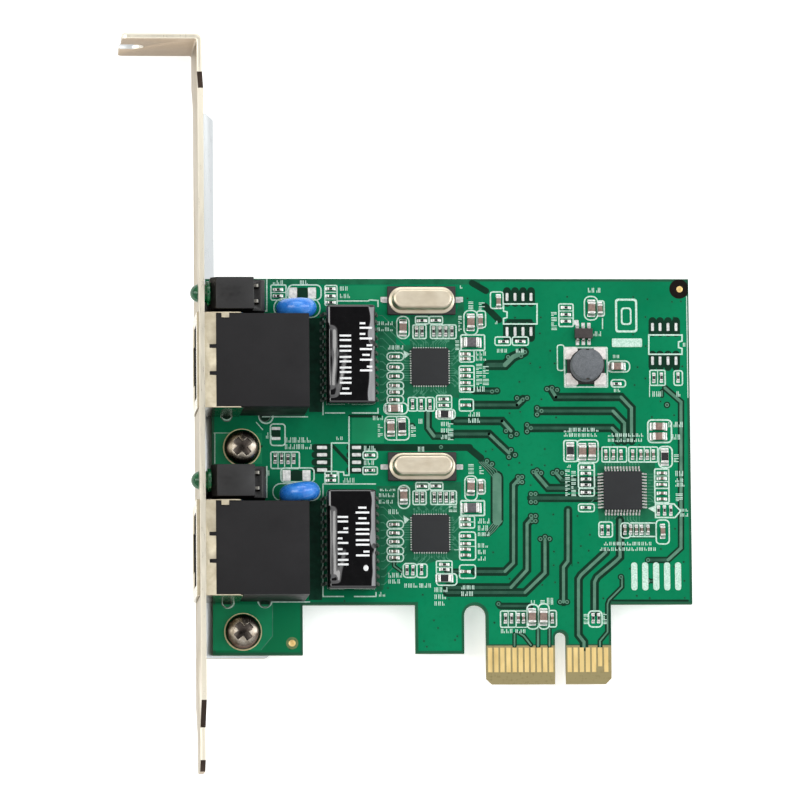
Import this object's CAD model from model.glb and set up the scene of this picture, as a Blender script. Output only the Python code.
import bpy, bmesh, math, random
from mathutils import Vector, Matrix
from mathutils import noise as mnoise


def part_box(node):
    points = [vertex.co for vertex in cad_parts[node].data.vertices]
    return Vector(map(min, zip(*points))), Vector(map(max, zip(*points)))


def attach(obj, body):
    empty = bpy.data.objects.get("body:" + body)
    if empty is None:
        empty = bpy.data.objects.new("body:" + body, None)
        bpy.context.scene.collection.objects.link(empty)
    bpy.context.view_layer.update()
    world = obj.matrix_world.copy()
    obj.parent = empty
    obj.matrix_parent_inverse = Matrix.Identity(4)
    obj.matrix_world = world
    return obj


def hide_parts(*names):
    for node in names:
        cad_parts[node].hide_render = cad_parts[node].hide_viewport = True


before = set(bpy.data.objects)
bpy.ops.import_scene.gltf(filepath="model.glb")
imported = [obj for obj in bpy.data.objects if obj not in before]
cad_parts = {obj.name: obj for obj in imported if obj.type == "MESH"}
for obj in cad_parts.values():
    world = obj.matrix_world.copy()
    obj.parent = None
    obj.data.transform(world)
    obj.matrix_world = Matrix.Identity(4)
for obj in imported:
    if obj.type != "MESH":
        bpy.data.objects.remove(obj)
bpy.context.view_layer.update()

# The card's own corner in the row frame: x from the board's left edge, y from the lower edge of its main field,
# z from the component surface. Everything below is in millimetres from there.
lo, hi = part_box("pcb")
OX, OY, OZ = lo.x * 1000.0, lo.y * 1000.0 + 13.05, hi.z * 1000.0
THICK = (hi.z - lo.z) * 1000.0
BACK = -THICK


def row(p):
    return ((p[0] + OX) / 1000.0, (p[1] + OY) / 1000.0, (p[2] + OZ) / 1000.0)


def card_box(node):
    a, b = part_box(node)
    return ((a.x * 1000 - OX, a.y * 1000 - OY, a.z * 1000 - OZ), (b.x * 1000 - OX, b.y * 1000 - OY, b.z * 1000 - OZ))


# ------------------------------------------------------------------ camera, floor, light
scene = bpy.context.scene
scene.view_settings.view_transform = "Standard"
scene.view_settings.look = "None"

cam_data = bpy.data.cameras.new("photo_camera")
cam_data.sensor_width = 36.0
cam_data.lens = 360.838
cam_data.clip_start = 0.01
cam_data.clip_end = 50.0
camera = bpy.data.objects.new("photo_camera", cam_data)
scene.collection.objects.link(camera)
R = ((0.997172716, 0.000189710, -0.075143452), (-0.008747535, 0.993491053, -0.113573800), (0.074632801, 0.113910014, 0.990683831))
cx, cy, cz = row((-67.740, -115.430, 1300.0))
camera.matrix_world = Matrix(((*R[0], cx), (*R[1], cy), (*R[2], cz), (0, 0, 0, 1)))
scene.camera = camera


def lin(c):
    out = []
    for v in c[:3]:
        v = v / 255.0
        out.append(v / 12.92 if v <= 0.04045 else ((v + 0.055) / 1.055) ** 2.4)
    return (out[0], out[1], out[2], 1.0)


class Mat:
    """A node material: colour, roughness and bump come from noise, streaks and place on the part."""

    def __init__(self, name, rough=0.5, metal=0.0, spec=0.5, coat=0.0, coat_rough=0.05):
        self.m = bpy.data.materials.new(name)
        self.m.use_nodes = True
        self.t = self.m.node_tree
        self.t.nodes.clear()
        self.out = self.t.nodes.new("ShaderNodeOutputMaterial")
        self.b = self.t.nodes.new("ShaderNodeBsdfPrincipled")
        self.t.links.new(self.b.outputs[0], self.out.inputs[0])
        self.b.inputs["Roughness"].default_value = rough
        self.b.inputs["Metallic"].default_value = metal
        self.b.inputs["Specular IOR Level"].default_value = spec
        if coat:
            self.b.inputs["Coat Weight"].default_value = coat
            self.b.inputs["Coat Roughness"].default_value = coat_rough
        self.co = self.t.nodes.new("ShaderNodeTexCoord").outputs["Object"]
        self.bump_to = None

    def node(self, kind):
        return self.t.nodes.new(kind)

    def link(self, a, b):
        self.t.links.new(a, b)

    def space(self, stretch):
        mp = self.node("ShaderNodeMapping")
        mp.inputs["Scale"].default_value = tuple(1000.0 * s for s in stretch)
        self.link(self.co, mp.inputs[0])
        return mp.outputs[0]

    def noise(self, size, detail=3.0, rough=0.55, stretch=(1, 1, 1)):
        """Noise whose features are about size millimetres."""
        n = self.node("ShaderNodeTexNoise")
        n.inputs["Scale"].default_value = 1.0 / size
        n.inputs["Detail"].default_value = detail
        n.inputs["Roughness"].default_value = rough
        self.link(self.space(stretch), n.inputs["Vector"])
        return n.outputs[0]

    def cells(self, size, stretch=(1, 1, 1), out="Distance"):
        n = self.node("ShaderNodeTexVoronoi")
        n.inputs["Scale"].default_value = 1.0 / size
        self.link(self.space(stretch), n.inputs["Vector"])
        return n.outputs[out]

    def ramp(self, fac, *stops):
        r = self.node("ShaderNodeValToRGB")
        el = r.color_ramp.elements
        while len(el) < len(stops):
            el.new(0.5)
        for e, (p, c) in zip(el, stops):
            e.position = p
            e.color = c if len(c) == 4 else lin(c)
        self.link(fac, r.inputs[0])
        return r.outputs[0]

    def span(self, fac, lo_in, hi_in, lo_out, hi_out):
        r = self.node("ShaderNodeMapRange")
        for i, v in ((1, lo_in), (2, hi_in), (3, lo_out), (4, hi_out)):
            r.inputs[i].default_value = v
        self.link(fac, r.inputs[0])
        return r.outputs[0]

    def mix(self, fac, a, b, kind="MIX"):
        x = self.node("ShaderNodeMix")
        x.data_type = "RGBA"
        x.blend_type = kind
        self.put(fac, x.inputs["Factor"])
        self.put(a, x.inputs[6])
        self.put(b, x.inputs[7])
        return x.outputs[2]

    def math(self, op, a, b=0.0):
        x = self.node("ShaderNodeMath")
        x.operation = op
        self.put(a, x.inputs[0])
        self.put(b, x.inputs[1])
        return x.outputs[0]

    def put(self, v, socket):
        if hasattr(v, "is_linked"):
            self.link(v, socket)
        elif isinstance(v, (int, float)):
            socket.default_value = v
        else:
            socket.default_value = v if len(v) == 4 else lin(v)

    def axis(self, which, source=None):
        s = self.node("ShaderNodeSeparateXYZ")
        self.link(source if source is not None else self.co, s.inputs[0])
        return s.outputs[which]

    def facing(self):
        """The surface's own normal in the part's frame, z component."""
        g = self.node("ShaderNodeNewGeometry")
        return self.axis(2, g.outputs["Normal"])

    def colour(self, v):
        self.put(v, self.b.inputs["Base Color"])
        return self

    def rough(self, v):
        self.put(v, self.b.inputs["Roughness"])
        return self

    def bump(self, height, dist=0.02, strength=0.5):
        b = self.node("ShaderNodeBump")
        b.inputs["Strength"].default_value = strength
        b.inputs["Distance"].default_value = dist / 1000.0
        self.link(height, b.inputs["Height"])
        if self.bump_to is not None:
            self.link(self.bump_to, b.inputs["Normal"])
        self.bump_to = b.outputs[0]
        self.link(b.outputs[0], self.b.inputs["Normal"])
        return self


def simple(name, dark, light, size, rough, metal=0.0, bump=0.0, bsize=None, stretch=(1, 1, 1), coat=0.0, coat_rough=0.05, spec=0.5,
           detail=4.0, spread=(0.3, 0.7)):
    """dark..light across noise of that size; roughness (low, high) across another; bump in millimetres."""
    m = Mat(name, metal=metal, coat=coat, coat_rough=coat_rough, spec=spec)
    m.colour(m.ramp(m.noise(size, detail, stretch=stretch), (spread[0], dark), (spread[1], light)))
    m.rough(m.span(m.noise(size * 0.6, 3.0, stretch=stretch), 0.25, 0.75, rough[0], rough[1]))
    if bump:
        m.bump(m.noise(bsize or size * 0.4, 3.0, stretch=stretch), dist=bump, strength=0.6)
    return m


# floor and light ------------------------------------------------------------
floor_mat = Mat("floor_pale", rough=0.85, spec=0.2)
floor_col = floor_mat.ramp(floor_mat.noise(220.0, 2.0), (0.3, (250, 250, 250)), (0.7, (253, 253, 252)))
floor_mat.colour(floor_col)
floor_mat.put(floor_col, floor_mat.b.inputs["Emission Color"])
floor_mat.b.inputs["Emission Strength"].default_value = 0.42
bm = bmesh.new()
bmesh.ops.create_grid(bm, x_segments=2, y_segments=2, size=6.0)
me = bpy.data.meshes.new("floor")
bm.to_mesh(me)
bm.free()
floor = bpy.data.objects.new("floor", me)
floor.location = (0, 0, -0.0002)
scene.collection.objects.link(floor)
me.materials.append(floor_mat.m)

world = bpy.data.worlds.new("studio")
scene.world = world
world.use_nodes = True
wt = world.node_tree
wt.nodes.clear()
w_out = wt.nodes.new("ShaderNodeOutputWorld")
w_bg = wt.nodes.new("ShaderNodeBackground")
w_co = wt.nodes.new("ShaderNodeTexCoord")
w_dot = wt.nodes.new("ShaderNodeVectorMath")
w_dot.operation = "DOT_PRODUCT"
ceiling = Vector((0.07, 0.12, 0.99)).normalized()
w_dot.inputs[1].default_value = ceiling
w_ramp = wt.nodes.new("ShaderNodeValToRGB")
w_el = w_ramp.color_ramp.elements
w_el[0].position, w_el[1].position = 0.30, 0.986
w_el[0].color, w_el[1].color = (0.70, 0.70, 0.71, 1), (0.045, 0.045, 0.048, 1)
for w_pos, w_val in ((0.82, 0.74), (0.935, 1.45), (0.966, 1.40)):
    w_el.new(w_pos).color = (w_val, w_val, w_val * 1.01, 1)
wt.links.new(w_co.outputs["Generated"], w_dot.inputs[0])
wt.links.new(w_dot.outputs["Value"], w_ramp.inputs[0])
wt.links.new(w_ramp.outputs[0], w_bg.inputs[0])
w_bg.inputs[1].default_value = 1.0
wt.links.new(w_bg.outputs[0], w_out.inputs[0])


def softbox(name, where, aim, sx, sy, power, tint=(1, 1, 1)):
    ld = bpy.data.lights.new(name, "AREA")
    ld.shape = "RECTANGLE"
    ld.size, ld.size_y = sx, sy
    ld.energy = power
    ld.color = tint
    ob = bpy.data.objects.new(name, ld)
    ob.location = where
    ob.rotation_euler = (Vector(aim) - Vector(where)).to_track_quat("-Z", "Y").to_euler()
    scene.collection.objects.link(ob)


softbox("softbox_left", (-0.95, 0.10, 0.95), (0, 0, 0), 0.5, 1.5, 7.5, (1.0, 0.985, 0.96))
softbox("softbox_right", (1.0, 0.15, 0.9), (0, 0, 0), 0.5, 1.3, 6.0, (0.96, 0.98, 1.0))
softbox("softbox_back", (0.1, 1.3, 1.1), (0, 0, 0), 1.4, 0.5, 6.0)


# ------------------------------------------------------------------ mesh tools
def area2(pts):
    return sum(pts[i][0] * pts[(i + 1) % len(pts)][1] - pts[(i + 1) % len(pts)][0] * pts[i][1] for i in range(len(pts)))


class Heap:
    """Faces collected in card millimetres, made into one piece at the end."""

    def __init__(self, step=0.0):
        self.v, self.f = [], []
        self.m = None
        self.step, self.count = step, 0         # flat prints that cross each other sit a hair apart

    def hair(self, z0, z1):
        self.count += 1
        k = self.step * (self.count % 16)
        return (z0 - k, z1) if z1 < BACK + 1e-6 else (z0, z1 + k)

    def add(self, verts, faces):
        base = len(self.v)
        if self.m is not None:
            verts = [tuple(self.m @ Vector(p)) for p in verts]
        self.v += verts
        self.f += [tuple(i + base for i in f) for f in faces]

    def place(self, x=0, y=0, z=0, turn=0.0, about="Z"):
        self.m = Matrix.Translation((x, y, z)) @ Matrix.Rotation(math.radians(turn), 4, about)
        return self

    def loft(self, loops, closed_low=True, closed_high=True):
        n = len(loops[0])
        verts = [p for lp in loops for p in lp]
        faces = []
        for k in range(len(loops) - 1):
            for i in range(n):
                a, b = k * n + i, k * n + (i + 1) % n
                faces.append((a, b, b + n, a + n))
        if closed_low:
            faces.append(tuple(reversed(range(n))))
        if closed_high:
            faces.append(tuple(range((len(loops) - 1) * n, len(loops) * n)))
        self.add(verts, faces)

    def prism(self, pts, z0, z1):
        if self.step:
            z0, z1 = self.hair(z0, z1)
        if area2(pts) < 0:
            pts = list(reversed(pts))
        self.loft([[(x, y, z0) for x, y in pts], [(x, y, z1) for x, y in pts]])

    def ring(self, outer, inner, z0, z1):
        """Between two loops of the same count."""
        if self.step:
            z0, z1 = self.hair(z0, z1)
        n = len(outer)
        verts = [(x, y, z1) for x, y in outer] + [(x, y, z1) for x, y in inner] + [(x, y, z0) for x, y in outer] + [(x, y, z0) for x, y in inner]
        faces = []
        for i in range(n):
            j = (i + 1) % n
            faces += [(i, j, n + j, n + i), (2 * n + i, 3 * n + i, 3 * n + j, 2 * n + j), (i, 2 * n + i, 2 * n + j, j), (n + i, n + j, 3 * n + j, 3 * n + i)]
        self.add(verts, faces)

    def disc(self, x, y, r, z0, z1, n=20):
        self.prism(circle(x, y, r, n), z0, z1)

    def annulus(self, x, y, r1, r0, z0, z1, n=24):
        self.ring(circle(x, y, r1, n), circle(x, y, r0, n), z0, z1)

    def block(self, x0, x1, y0, y1, z0, z1, r=0.05, e=0.04, n=1, steps=1):
        """A box with rounded upright corners (r, n steps) and rounded rims (e)."""
        loops = []
        for i in range(steps + 1):
            a = math.pi / 2 * i / steps
            k, h = e * (1 - math.sin(a)), e * (1 - math.cos(a))
            loops.append([(x, y, z0 + h) for x, y in rounded(x0 + k, x1 - k, y0 + k, y1 - k, max(r - k * 0.5, 0.005), n)])
        for i in range(steps + 1):
            a = math.pi / 2 * i / steps
            k, h = e * (1 - math.cos(a)), e * (1 - math.sin(a))
            loops.append([(x, y, z1 - h) for x, y in rounded(x0 + k, x1 - k, y0 + k, y1 - k, max(r - k * 0.5, 0.005), n)])
        self.loft(loops)

    def strip(self, pts, w, z0, z1, ends=True):
        out = outline(pts, w, ends)
        if out:
            self.prism(out, z0, z1)

    def turned(self, profile, n=28, flip=False):
        """A lathe shape about the local z axis from (radius, height) pairs, closed on the axis at both ends."""
        loops = []
        for r, h in profile:
            loops.append([(r * math.cos(2 * math.pi * i / n), r * math.sin(2 * math.pi * i / n), h) for i in range(n)])
        if flip:
            loops.reverse()
        self.loft(loops)

    def sheet(self, outer, holes, z0, z1):
        """A thin plate with holes in it."""
        bm = bmesh.new()
        rings = []
        for lp in [outer] + list(holes):
            vs = [bm.verts.new((x, y, z1)) for x, y in lp]
            for i in range(len(vs)):
                bm.edges.new((vs[i], vs[(i + 1) % len(vs)]))
            rings.append(vs)
        bmesh.ops.triangle_fill(bm, use_beauty=True, use_dissolve=False, edges=bm.edges[:])
        bm.verts.index_update()
        n = len(bm.verts)
        verts = [tuple(v.co) for v in bm.verts] + [(v.co.x, v.co.y, z0) for v in bm.verts]
        faces = []
        for f in bm.faces:
            ids = [v.index for v in f.verts]
            if f.normal.z < 0:
                ids.reverse()
            faces.append(tuple(ids))
            faces.append(tuple(i + n for i in reversed(ids)))
        for k, vs in enumerate(rings):
            ids = [v.index for v in vs]
            pts = outer if k == 0 else holes[k - 1]
            ccw = area2(pts) > 0
            for i in range(len(ids)):
                a, b = ids[i], ids[(i + 1) % len(ids)]
                quad = (a, a + n, b + n, b)
                if (k == 0) != ccw:
                    quad = tuple(reversed(quad))
                faces.append(quad)
        bm.free()
        self.add(verts, faces)


def circle(x, y, r, n=20, start=0.0):
    return [(x + r * math.cos(start + 2 * math.pi * i / n), y + r * math.sin(start + 2 * math.pi * i / n)) for i in range(n)]


def rounded(x0, x1, y0, y1, r, n=3):
    r = max(min(r, (x1 - x0) / 2 - 1e-4, (y1 - y0) / 2 - 1e-4), 1e-4)
    out = []
    for cx_, cy_, a0 in ((x1 - r, y1 - r, 0), (x0 + r, y1 - r, 90), (x0 + r, y0 + r, 180), (x1 - r, y0 + r, 270)):
        for i in range(n + 1):
            a = math.radians(a0 + 90.0 * i / n)
            out.append((cx_ + r * math.cos(a), cy_ + r * math.sin(a)))
    return out


def outline(pts, w, ends=True):
    pts = [p for i, p in enumerate(pts) if i == 0 or (abs(p[0] - pts[i - 1][0]) + abs(p[1] - pts[i - 1][1])) > 1e-3]
    if len(pts) < 2:
        return None
    h = w / 2
    closed = len(pts) > 3 and abs(pts[0][0] - pts[-1][0]) + abs(pts[0][1] - pts[-1][1]) < 0.02
    left, right = [], []
    dirs = []
    for a, b in zip(pts, pts[1:]):
        l = math.hypot(b[0] - a[0], b[1] - a[1])
        dirs.append(((b[0] - a[0]) / l, (b[1] - a[1]) / l))
    for i, p in enumerate(pts):
        if i == 0:
            d0 = d1 = dirs[0]
            if closed:
                d0 = dirs[-1]
        elif i == len(pts) - 1:
            d0 = d1 = dirs[-1]
            if closed:
                d1 = dirs[0]
        else:
            d0, d1 = dirs[i - 1], dirs[i]
        nx, ny = -(d0[1] + d1[1]), d0[0] + d1[0]
        l = math.hypot(nx, ny)
        if l < 1e-6:
            nx, ny, l = -d0[1], d0[0], 1.0
        nx, ny = nx / l, ny / l
        c = max(nx * -d0[1] + ny * d0[0], 0.35)
        left.append((p[0] + nx * h / c, p[1] + ny * h / c))
        right.append((p[0] - nx * h / c, p[1] - ny * h / c))
    out = list(left)
    if ends and not closed:
        a0 = math.atan2(dirs[-1][1], dirs[-1][0])
        out += [(pts[-1][0] + h * math.cos(a0 + math.pi / 2 - math.pi * k / 5), pts[-1][1] + h * math.sin(a0 + math.pi / 2 - math.pi * k / 5)) for k in range(1, 5)]
    out += list(reversed(right))
    if ends and not closed:
        a0 = math.atan2(dirs[0][1], dirs[0][0])
        out += [(pts[0][0] + h * math.cos(a0 - math.pi / 2 - math.pi * k / 5), pts[0][1] + h * math.sin(a0 - math.pi / 2 - math.pi * k / 5)) for k in range(1, 5)]
    return out


def make(name, heap, mat, nodes=(), smooth=None, own_mesh=None):
    me = own_mesh
    if me is None:
        me = bpy.data.meshes.new(name)
        me.from_pydata([row(p) for p in heap.v], [], heap.f)
        me.update()
    me.name = name
    me.materials.clear()
    me.materials.append(mat.m)
    ob = bpy.data.objects.new(name, me)
    scene.collection.objects.link(ob)
    if smooth is not None:
        me.polygons.foreach_set("use_smooth", [True] * len(me.polygons))
        me.set_sharp_from_angle(angle=math.radians(smooth))
    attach(ob, "root")
    if nodes:
        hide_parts(*nodes)
    return ob


def cleaned(node):
    """The CAD node's solid as a clean mesh: joined points, flat faces whole again."""
    bm = bmesh.new()
    bm.from_mesh(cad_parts[node].data)
    bmesh.ops.remove_doubles(bm, verts=bm.verts[:], dist=2e-6)
    bmesh.ops.dissolve_limit(bm, angle_limit=math.radians(0.8), verts=bm.verts[:], edges=bm.edges[:])
    return bm


def soften(node, name, width, mat, segments=2, angle=28, smooth=40, edit=None):
    """The CAD node with its real edge radii: the same solid, with the sharp edges rounded over by width millimetres."""
    bm = cleaned(node)
    if edit:
        edit(bm)
    me = bpy.data.meshes.new(name + "_base")
    bm.to_mesh(me)
    bm.free()
    tmp = bpy.data.objects.new(name + "_base", me)
    scene.collection.objects.link(tmp)
    md = tmp.modifiers.new("rim", "BEVEL")
    md.width = width / 1000.0
    md.segments = segments
    md.limit_method = "ANGLE"
    md.angle_limit = math.radians(angle)
    md.use_clamp_overlap = True
    md.harden_normals = False
    bpy.context.view_layer.update()
    deps = bpy.context.evaluated_depsgraph_get()
    final = bpy.data.meshes.new_from_object(tmp.evaluated_get(deps))
    bpy.data.objects.remove(tmp)
    return make(name, None, mat, (node,), smooth, own_mesh=final)


def dress(node, mat):
    """A carried-over CAD node gets its material."""
    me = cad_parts[node].data
    for i in range(len(me.materials)):
        me.materials[i] = mat.m
    if not len(me.materials):
        me.materials.append(mat.m)


# ------------------------------------------------------------------ tables, card millimetres
# chip parts: (x, y, h or v), as in the part's source
CAP_LARGE = [
    (31.39, 45.50, "v"), (42.58, 46.44, "v"), (62.47, 48.77, "v"), (66.57, 39.11, "h"), (29.88, 32.18, "h"),
    (29.28, 29.06, "v"), (73.32, 29.20, "h"), (73.30, 27.56, "h"), (60.72, 25.09, "v"), (62.29, 25.09, "v"),
    (31.27, 17.85, "v"), (42.31, 19.27, "v"), (52.17, -2.07, "v"), (54.01, -2.08, "v"),
]
CAP_MEDIUM = [(63.92, 48.59, "v"), (44.21, 46.56, "v"), (43.98, 19.30, "v"), (73.80, 11.95, "v"),
              (47.16, 49.87, "v")]
CAP_SMALL = [
    (29.99, 40.72, "h"), (29.98, 38.99, "h"), (29.96, 37.51, "h"), (29.95, 35.94, "h"), (29.94, 34.87, "h"),
    (29.93, 33.60, "h"), (29.75, 13.09, "h"), (29.74, 11.70, "h"), (29.73, 10.27, "h"), (29.71, 8.70, "h"),
    (29.70, 7.65, "h"), (41.69, 41.17, "h"), (41.68, 40.38, "h"), (41.66, 38.56, "h"), (41.66, 37.57, "h"),
    (41.64, 36.42, "h"), (41.63, 35.41, "h"), (41.61, 32.73, "h"), (41.43, 13.98, "h"), (41.42, 13.06, "h"),
    (41.40, 11.19, "h"), (41.39, 9.96, "h"), (41.38, 9.05, "h"), (41.37, 8.07, "h"), (41.34, 5.36, "h"),
    (64.59, 24.56, "v"), (65.82, 24.56, "v"), (67.06, 24.56, "v"), (69.03, 24.56, "v"), (70.35, 24.56, "v"),
    (71.42, 24.56, "v"), (72.41, 24.56, "v"), (73.77, 21.51, "h"), (73.76, 20.60, "h"), (73.75, 19.65, "h"),
    (73.73, 18.21, "h"), (73.72, 17.26, "h"), (67.57, 12.22, "v"), (68.55, 12.22, "v"), (69.46, 12.21, "v"),
    (70.36, 12.21, "v"), (71.35, 12.21, "v"), (49.92, -2.27, "v"), (50.74, -2.28, "v"), (55.49, -2.29, "v"),
]
RES_SMALL = [
    (10.97, 51.77, "h"), (10.97, 50.70, "h"), (19.62, 51.90, "h"), (19.61, 50.76, "h"), (19.60, 49.67, "h"),
    (19.43, 21.16, "h"), (19.42, 20.37, "h"), (10.29, 23.95, "v"), (11.35, 23.95, "v"), (12.41, 23.95, "v"),
    (13.40, 23.95, "v"), (25.84, 24.52, "h"), (25.82, 22.00, "h"), (33.65, 44.94, "v"), (34.60, 44.94, "v"),
    (36.52, 44.94, "v"), (37.51, 44.94, "v"), (38.50, 44.94, "v"), (39.48, 44.94, "v"), (34.57, 46.71, "h"),
    (36.87, 46.71, "h"), (33.44, 17.61, "v"), (34.39, 17.61, "v"), (36.35, 17.61, "v"), (37.34, 17.61, "v"),
    (38.32, 17.60, "v"), (39.30, 17.60, "v"), (34.32, 19.42, "h"), (36.62, 19.41, "h"), (32.88, 32.91, "v"),
    (34.36, 32.91, "v"), (35.76, 32.90, "v"), (38.06, 33.73, "h"), (38.05, 32.69, "h"), (31.74, 5.64, "v"),
    (32.72, 5.63, "v"), (34.11, 5.71, "v"), (37.89, 6.56, "h"), (37.88, 5.72, "h"), (47.94, 43.25, "h"),
    (50.73, 43.25, "h"), (58.29, 48.84, "h"), (58.27, 47.71, "h"), (58.26, 46.57, "h"), (72.66, 37.27, "v"),
    (73.93, 37.27, "v"), (76.67, 37.27, "v"), (66.46, 36.28, "h"), (61.28, 22.47, "h"), (61.27, 21.50, "h"),
    (61.26, 20.54, "h"), (61.25, 19.60, "h"), (61.23, 18.35, "h"), (61.21, 15.85, "h"), (73.16, 15.38, "v"),
    (74.16, 15.38, "v"), (75.18, 15.37, "v"), (63.84, 12.15, "v"), (64.83, 12.15, "v"), (47.80, -2.26, "v"),
    (48.83, -2.26, "v"), (62.20, -2.29, "v"), (63.13, -2.30, "v"),
]
RES_LARGE = [(31.12, 29.22, "v"), (58.75, 25.22, "v"), (74.29, 24.22, "v"), (38.11, 31.22, "h"),
             (37.86, 4.28, "h")]
BEADS = [(42.65, 43.05, "h"), (42.38, 15.81, "h")]

# the board's drawing: (points, width, gap), outlines (x0, y0, x1, y1, radius, width), plain bars, lands and fields
NIGHT = [
    [(16.04,47.12),(18.18,47.12),(18.06,31.63),(15.93,31.63)], [(15.82,17.17),(17.95,17.17),(17.82,0.78),(15.7,0.79)],
]
TR = [
    ([(43.01,32.78),(50.08,32.78),(51.08,33.77)],0.49,0.47), ([(39.86,30.14),(47.59,30.14),(49.05,28.49)],0.49,0.47),
    ([(39.84,28.0),(45.43,28.0),(48.68,24.87)],0.49,0.47), ([(55.7,35.41),(56.51,34.09),(67.22,34.09),(68.92,32.28),(68.86,26.83)],0.49,0.47),
    ([(53.52,31.79),(65.87,31.78),(67.74,29.8),(67.7,26.83)],0.49,0.47), ([(51.85,28.98),(65.67,28.98),(66.65,27.99),(66.63,26.83)],0.49,0.47),
    ([(50.28,20.59),(49.37,19.6),(49.23,6.79),(47.82,5.39),(42.9,5.4)],0.49,0.47),
    ([(52.35,14.17),(51.52,13.19),(51.44,5.63),(48.78,2.77),(38.29,2.79)],0.49,0.47),
    ([(54.44,10.55),(54.39,5.14),(51.07,1.94),(38.28,1.97)],0.49,0.47), ([(58.28,15.48),(58.18,7.1),(57.43,6.11),(57.37,0.37)],0.49,0.47),
    ([(46.95,-0.26),(51.87,-0.27)],0.39,0.36), ([(64.44,8.57),(60.29,4.8),(59.87,4.14),(59.77,-5.04),(60.66,-6.19),(60.65,-7.01)],0.49,0.47),
    ([(66.81,13.82),(66.74,7.74),(66.07,7.09),(62.92,4.46),(62.5,3.64),(62.44,-1.28)],0.49,0.47),
    ([(67.02,4.29),(67.01,2.81),(64.84,0.68),(64.59,0.03),(64.54,-4.56),(63.29,-6.04),(63.28,-7.02)],0.26,0.29),
    ([(74.49,35.58),(77.1,33.27),(76.79,9.2),(74.63,7.24),(71.5,7.24)],0.49,0.29), ([(71.29,3.79),(72.77,3.79)],0.26,0.26),
    ([(52.22,17.46),(63.56,17.45)],0.55,0.42), ([(53.08,21.41),(55.03,19.1),(63.58,19.09)],0.55,0.42),
    ([(56.37,21.57),(57.35,20.42),(63.6,20.41)],0.49,0.36), ([(46.67,20.92),(46.6,13.69)],1.47,0.33),
    ([(45.38,39.37),(48.17,39.38),(49.5,40.7),(51.32,41.52)],0.73,0.49), ([(43.03,35.09),(46.81,35.09)],0.42,0.39),
    ([(35.44,31.79),(35.42,28.99),(36.39,27.67),(39.35,27.67)],0.52,0.39), ([(38.32,5.41),(40.28,5.41)],0.33,0.33),
    ([(29.65,7.31),(29.64,6.33),(30.94,5.34)],0.23,0.23), ([(46.27,13.69),(44.94,12.05),(44.44,11.23)],0.15,0.1),
    ([(46.66,13.69),(45.33,12.05),(44.68,11.23)],0.15,0.1), ([(47.06,13.69),(45.73,12.05),(44.93,11.23)],0.15,0.1),
    ([(47.45,13.69),(46.12,12.04),(45.18,11.23)],0.15,0.1), ([(43.74,23.39),(45.04,22.07),(46.01,20.92)],0.15,0.1),
    ([(44.07,23.39),(45.53,22.07),(46.34,20.92)],0.15,0.1), ([(44.4,23.39),(46.02,22.07),(46.67,20.92)],0.15,0.1),
    ([(44.72,23.39),(46.52,22.07),(47.0,20.92)],0.15,0.1), ([(49.28,-4.86),(49.26,-6.82)],0.26,0.23),
    ([(50.02,-4.69),(50.83,-5.19),(51.96,-6.66)],0.26,0.26), ([(53.14,-4.05),(53.11,-6.83)],0.36,0.23), ([(55.02,-4.05),(54.99,-6.84)],0.26,0.23),
    ([(73.99,35.08),(73.98,34.26)],0.24,0.24), ([(62.1,19.1),(62.92,19.09)],0.2,0.2),
]
BAND = [
    ([(22.6,25.79),(41.96,25.78),(44.07,24.05)],1.14), ([(42.88,52.92),(45.17,51.6)],1.06), ([(44.98,49.12),(47.26,46.81)],1.06),
    ([(40.48,25.86),(42.28,25.86)],0.98), ([(48.74,46.68),(52.53,46.68)],0.55), ([(19.82,26.04),(22.09,23.57)],0.55),
    ([(22.64,30.97),(27.56,30.97)],0.49), ([(4.57,22.44),(8.2,26.05)],0.26), ([(63.16,25.52),(63.98,25.52)],0.49), ([(65.34,0.6),(77.83,0.57)],0.33),
    ([(58.93,15.48),(58.83,6.28)],0.13), ([(48.63,51.6),(48.61,49.62)],1.31), ([(48.57,45.98),(48.55,43.83)],1.31),
    ([(49.95,51.6),(49.93,49.62)],1.31), ([(49.89,45.98),(49.87,43.83)],1.31), ([(51.26,51.6),(51.24,49.62)],1.31),
    ([(51.2,45.98),(51.18,43.83)],1.31), ([(52.58,51.61),(52.56,49.62)],1.31), ([(52.52,45.98),(52.5,43.83)],1.31),
    ([(72.56,46.66),(72.54,44.67)],1.31), ([(72.49,41.11),(72.47,39.05)],1.31), ([(73.8,46.66),(73.78,44.67)],1.31),
    ([(73.73,41.11),(73.71,39.05)],1.31), ([(75.12,46.66),(75.1,44.67)],1.31), ([(75.05,41.11),(75.03,39.05)],1.31),
    ([(76.44,46.66),(76.42,44.67)],1.31), ([(76.37,41.12),(76.35,39.05)],1.31), ([(16.87,25.79),(19.16,25.79)],1.21),
    ([(22.6,25.79),(24.73,25.79)],1.21), ([(16.86,24.59),(19.15,24.59)],1.21), ([(22.59,24.59),(24.72,24.59)],1.21),
    ([(16.85,23.36),(19.14,23.36)],1.21), ([(22.58,23.36),(24.71,23.36)],1.21), ([(16.84,22.1),(19.13,22.1)],1.21),
    ([(22.57,22.09),(24.7,22.09)],1.21), ([(14.6,51.24),(15.42,51.24)],1.79), ([(13.4,21.2),(14.21,21.2)],1.79), ([(10.5,28.35),(10.5,27.85)],1.47),
    ([(48.72,44.99),(48.72,44.97)],0.16),
]
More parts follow.
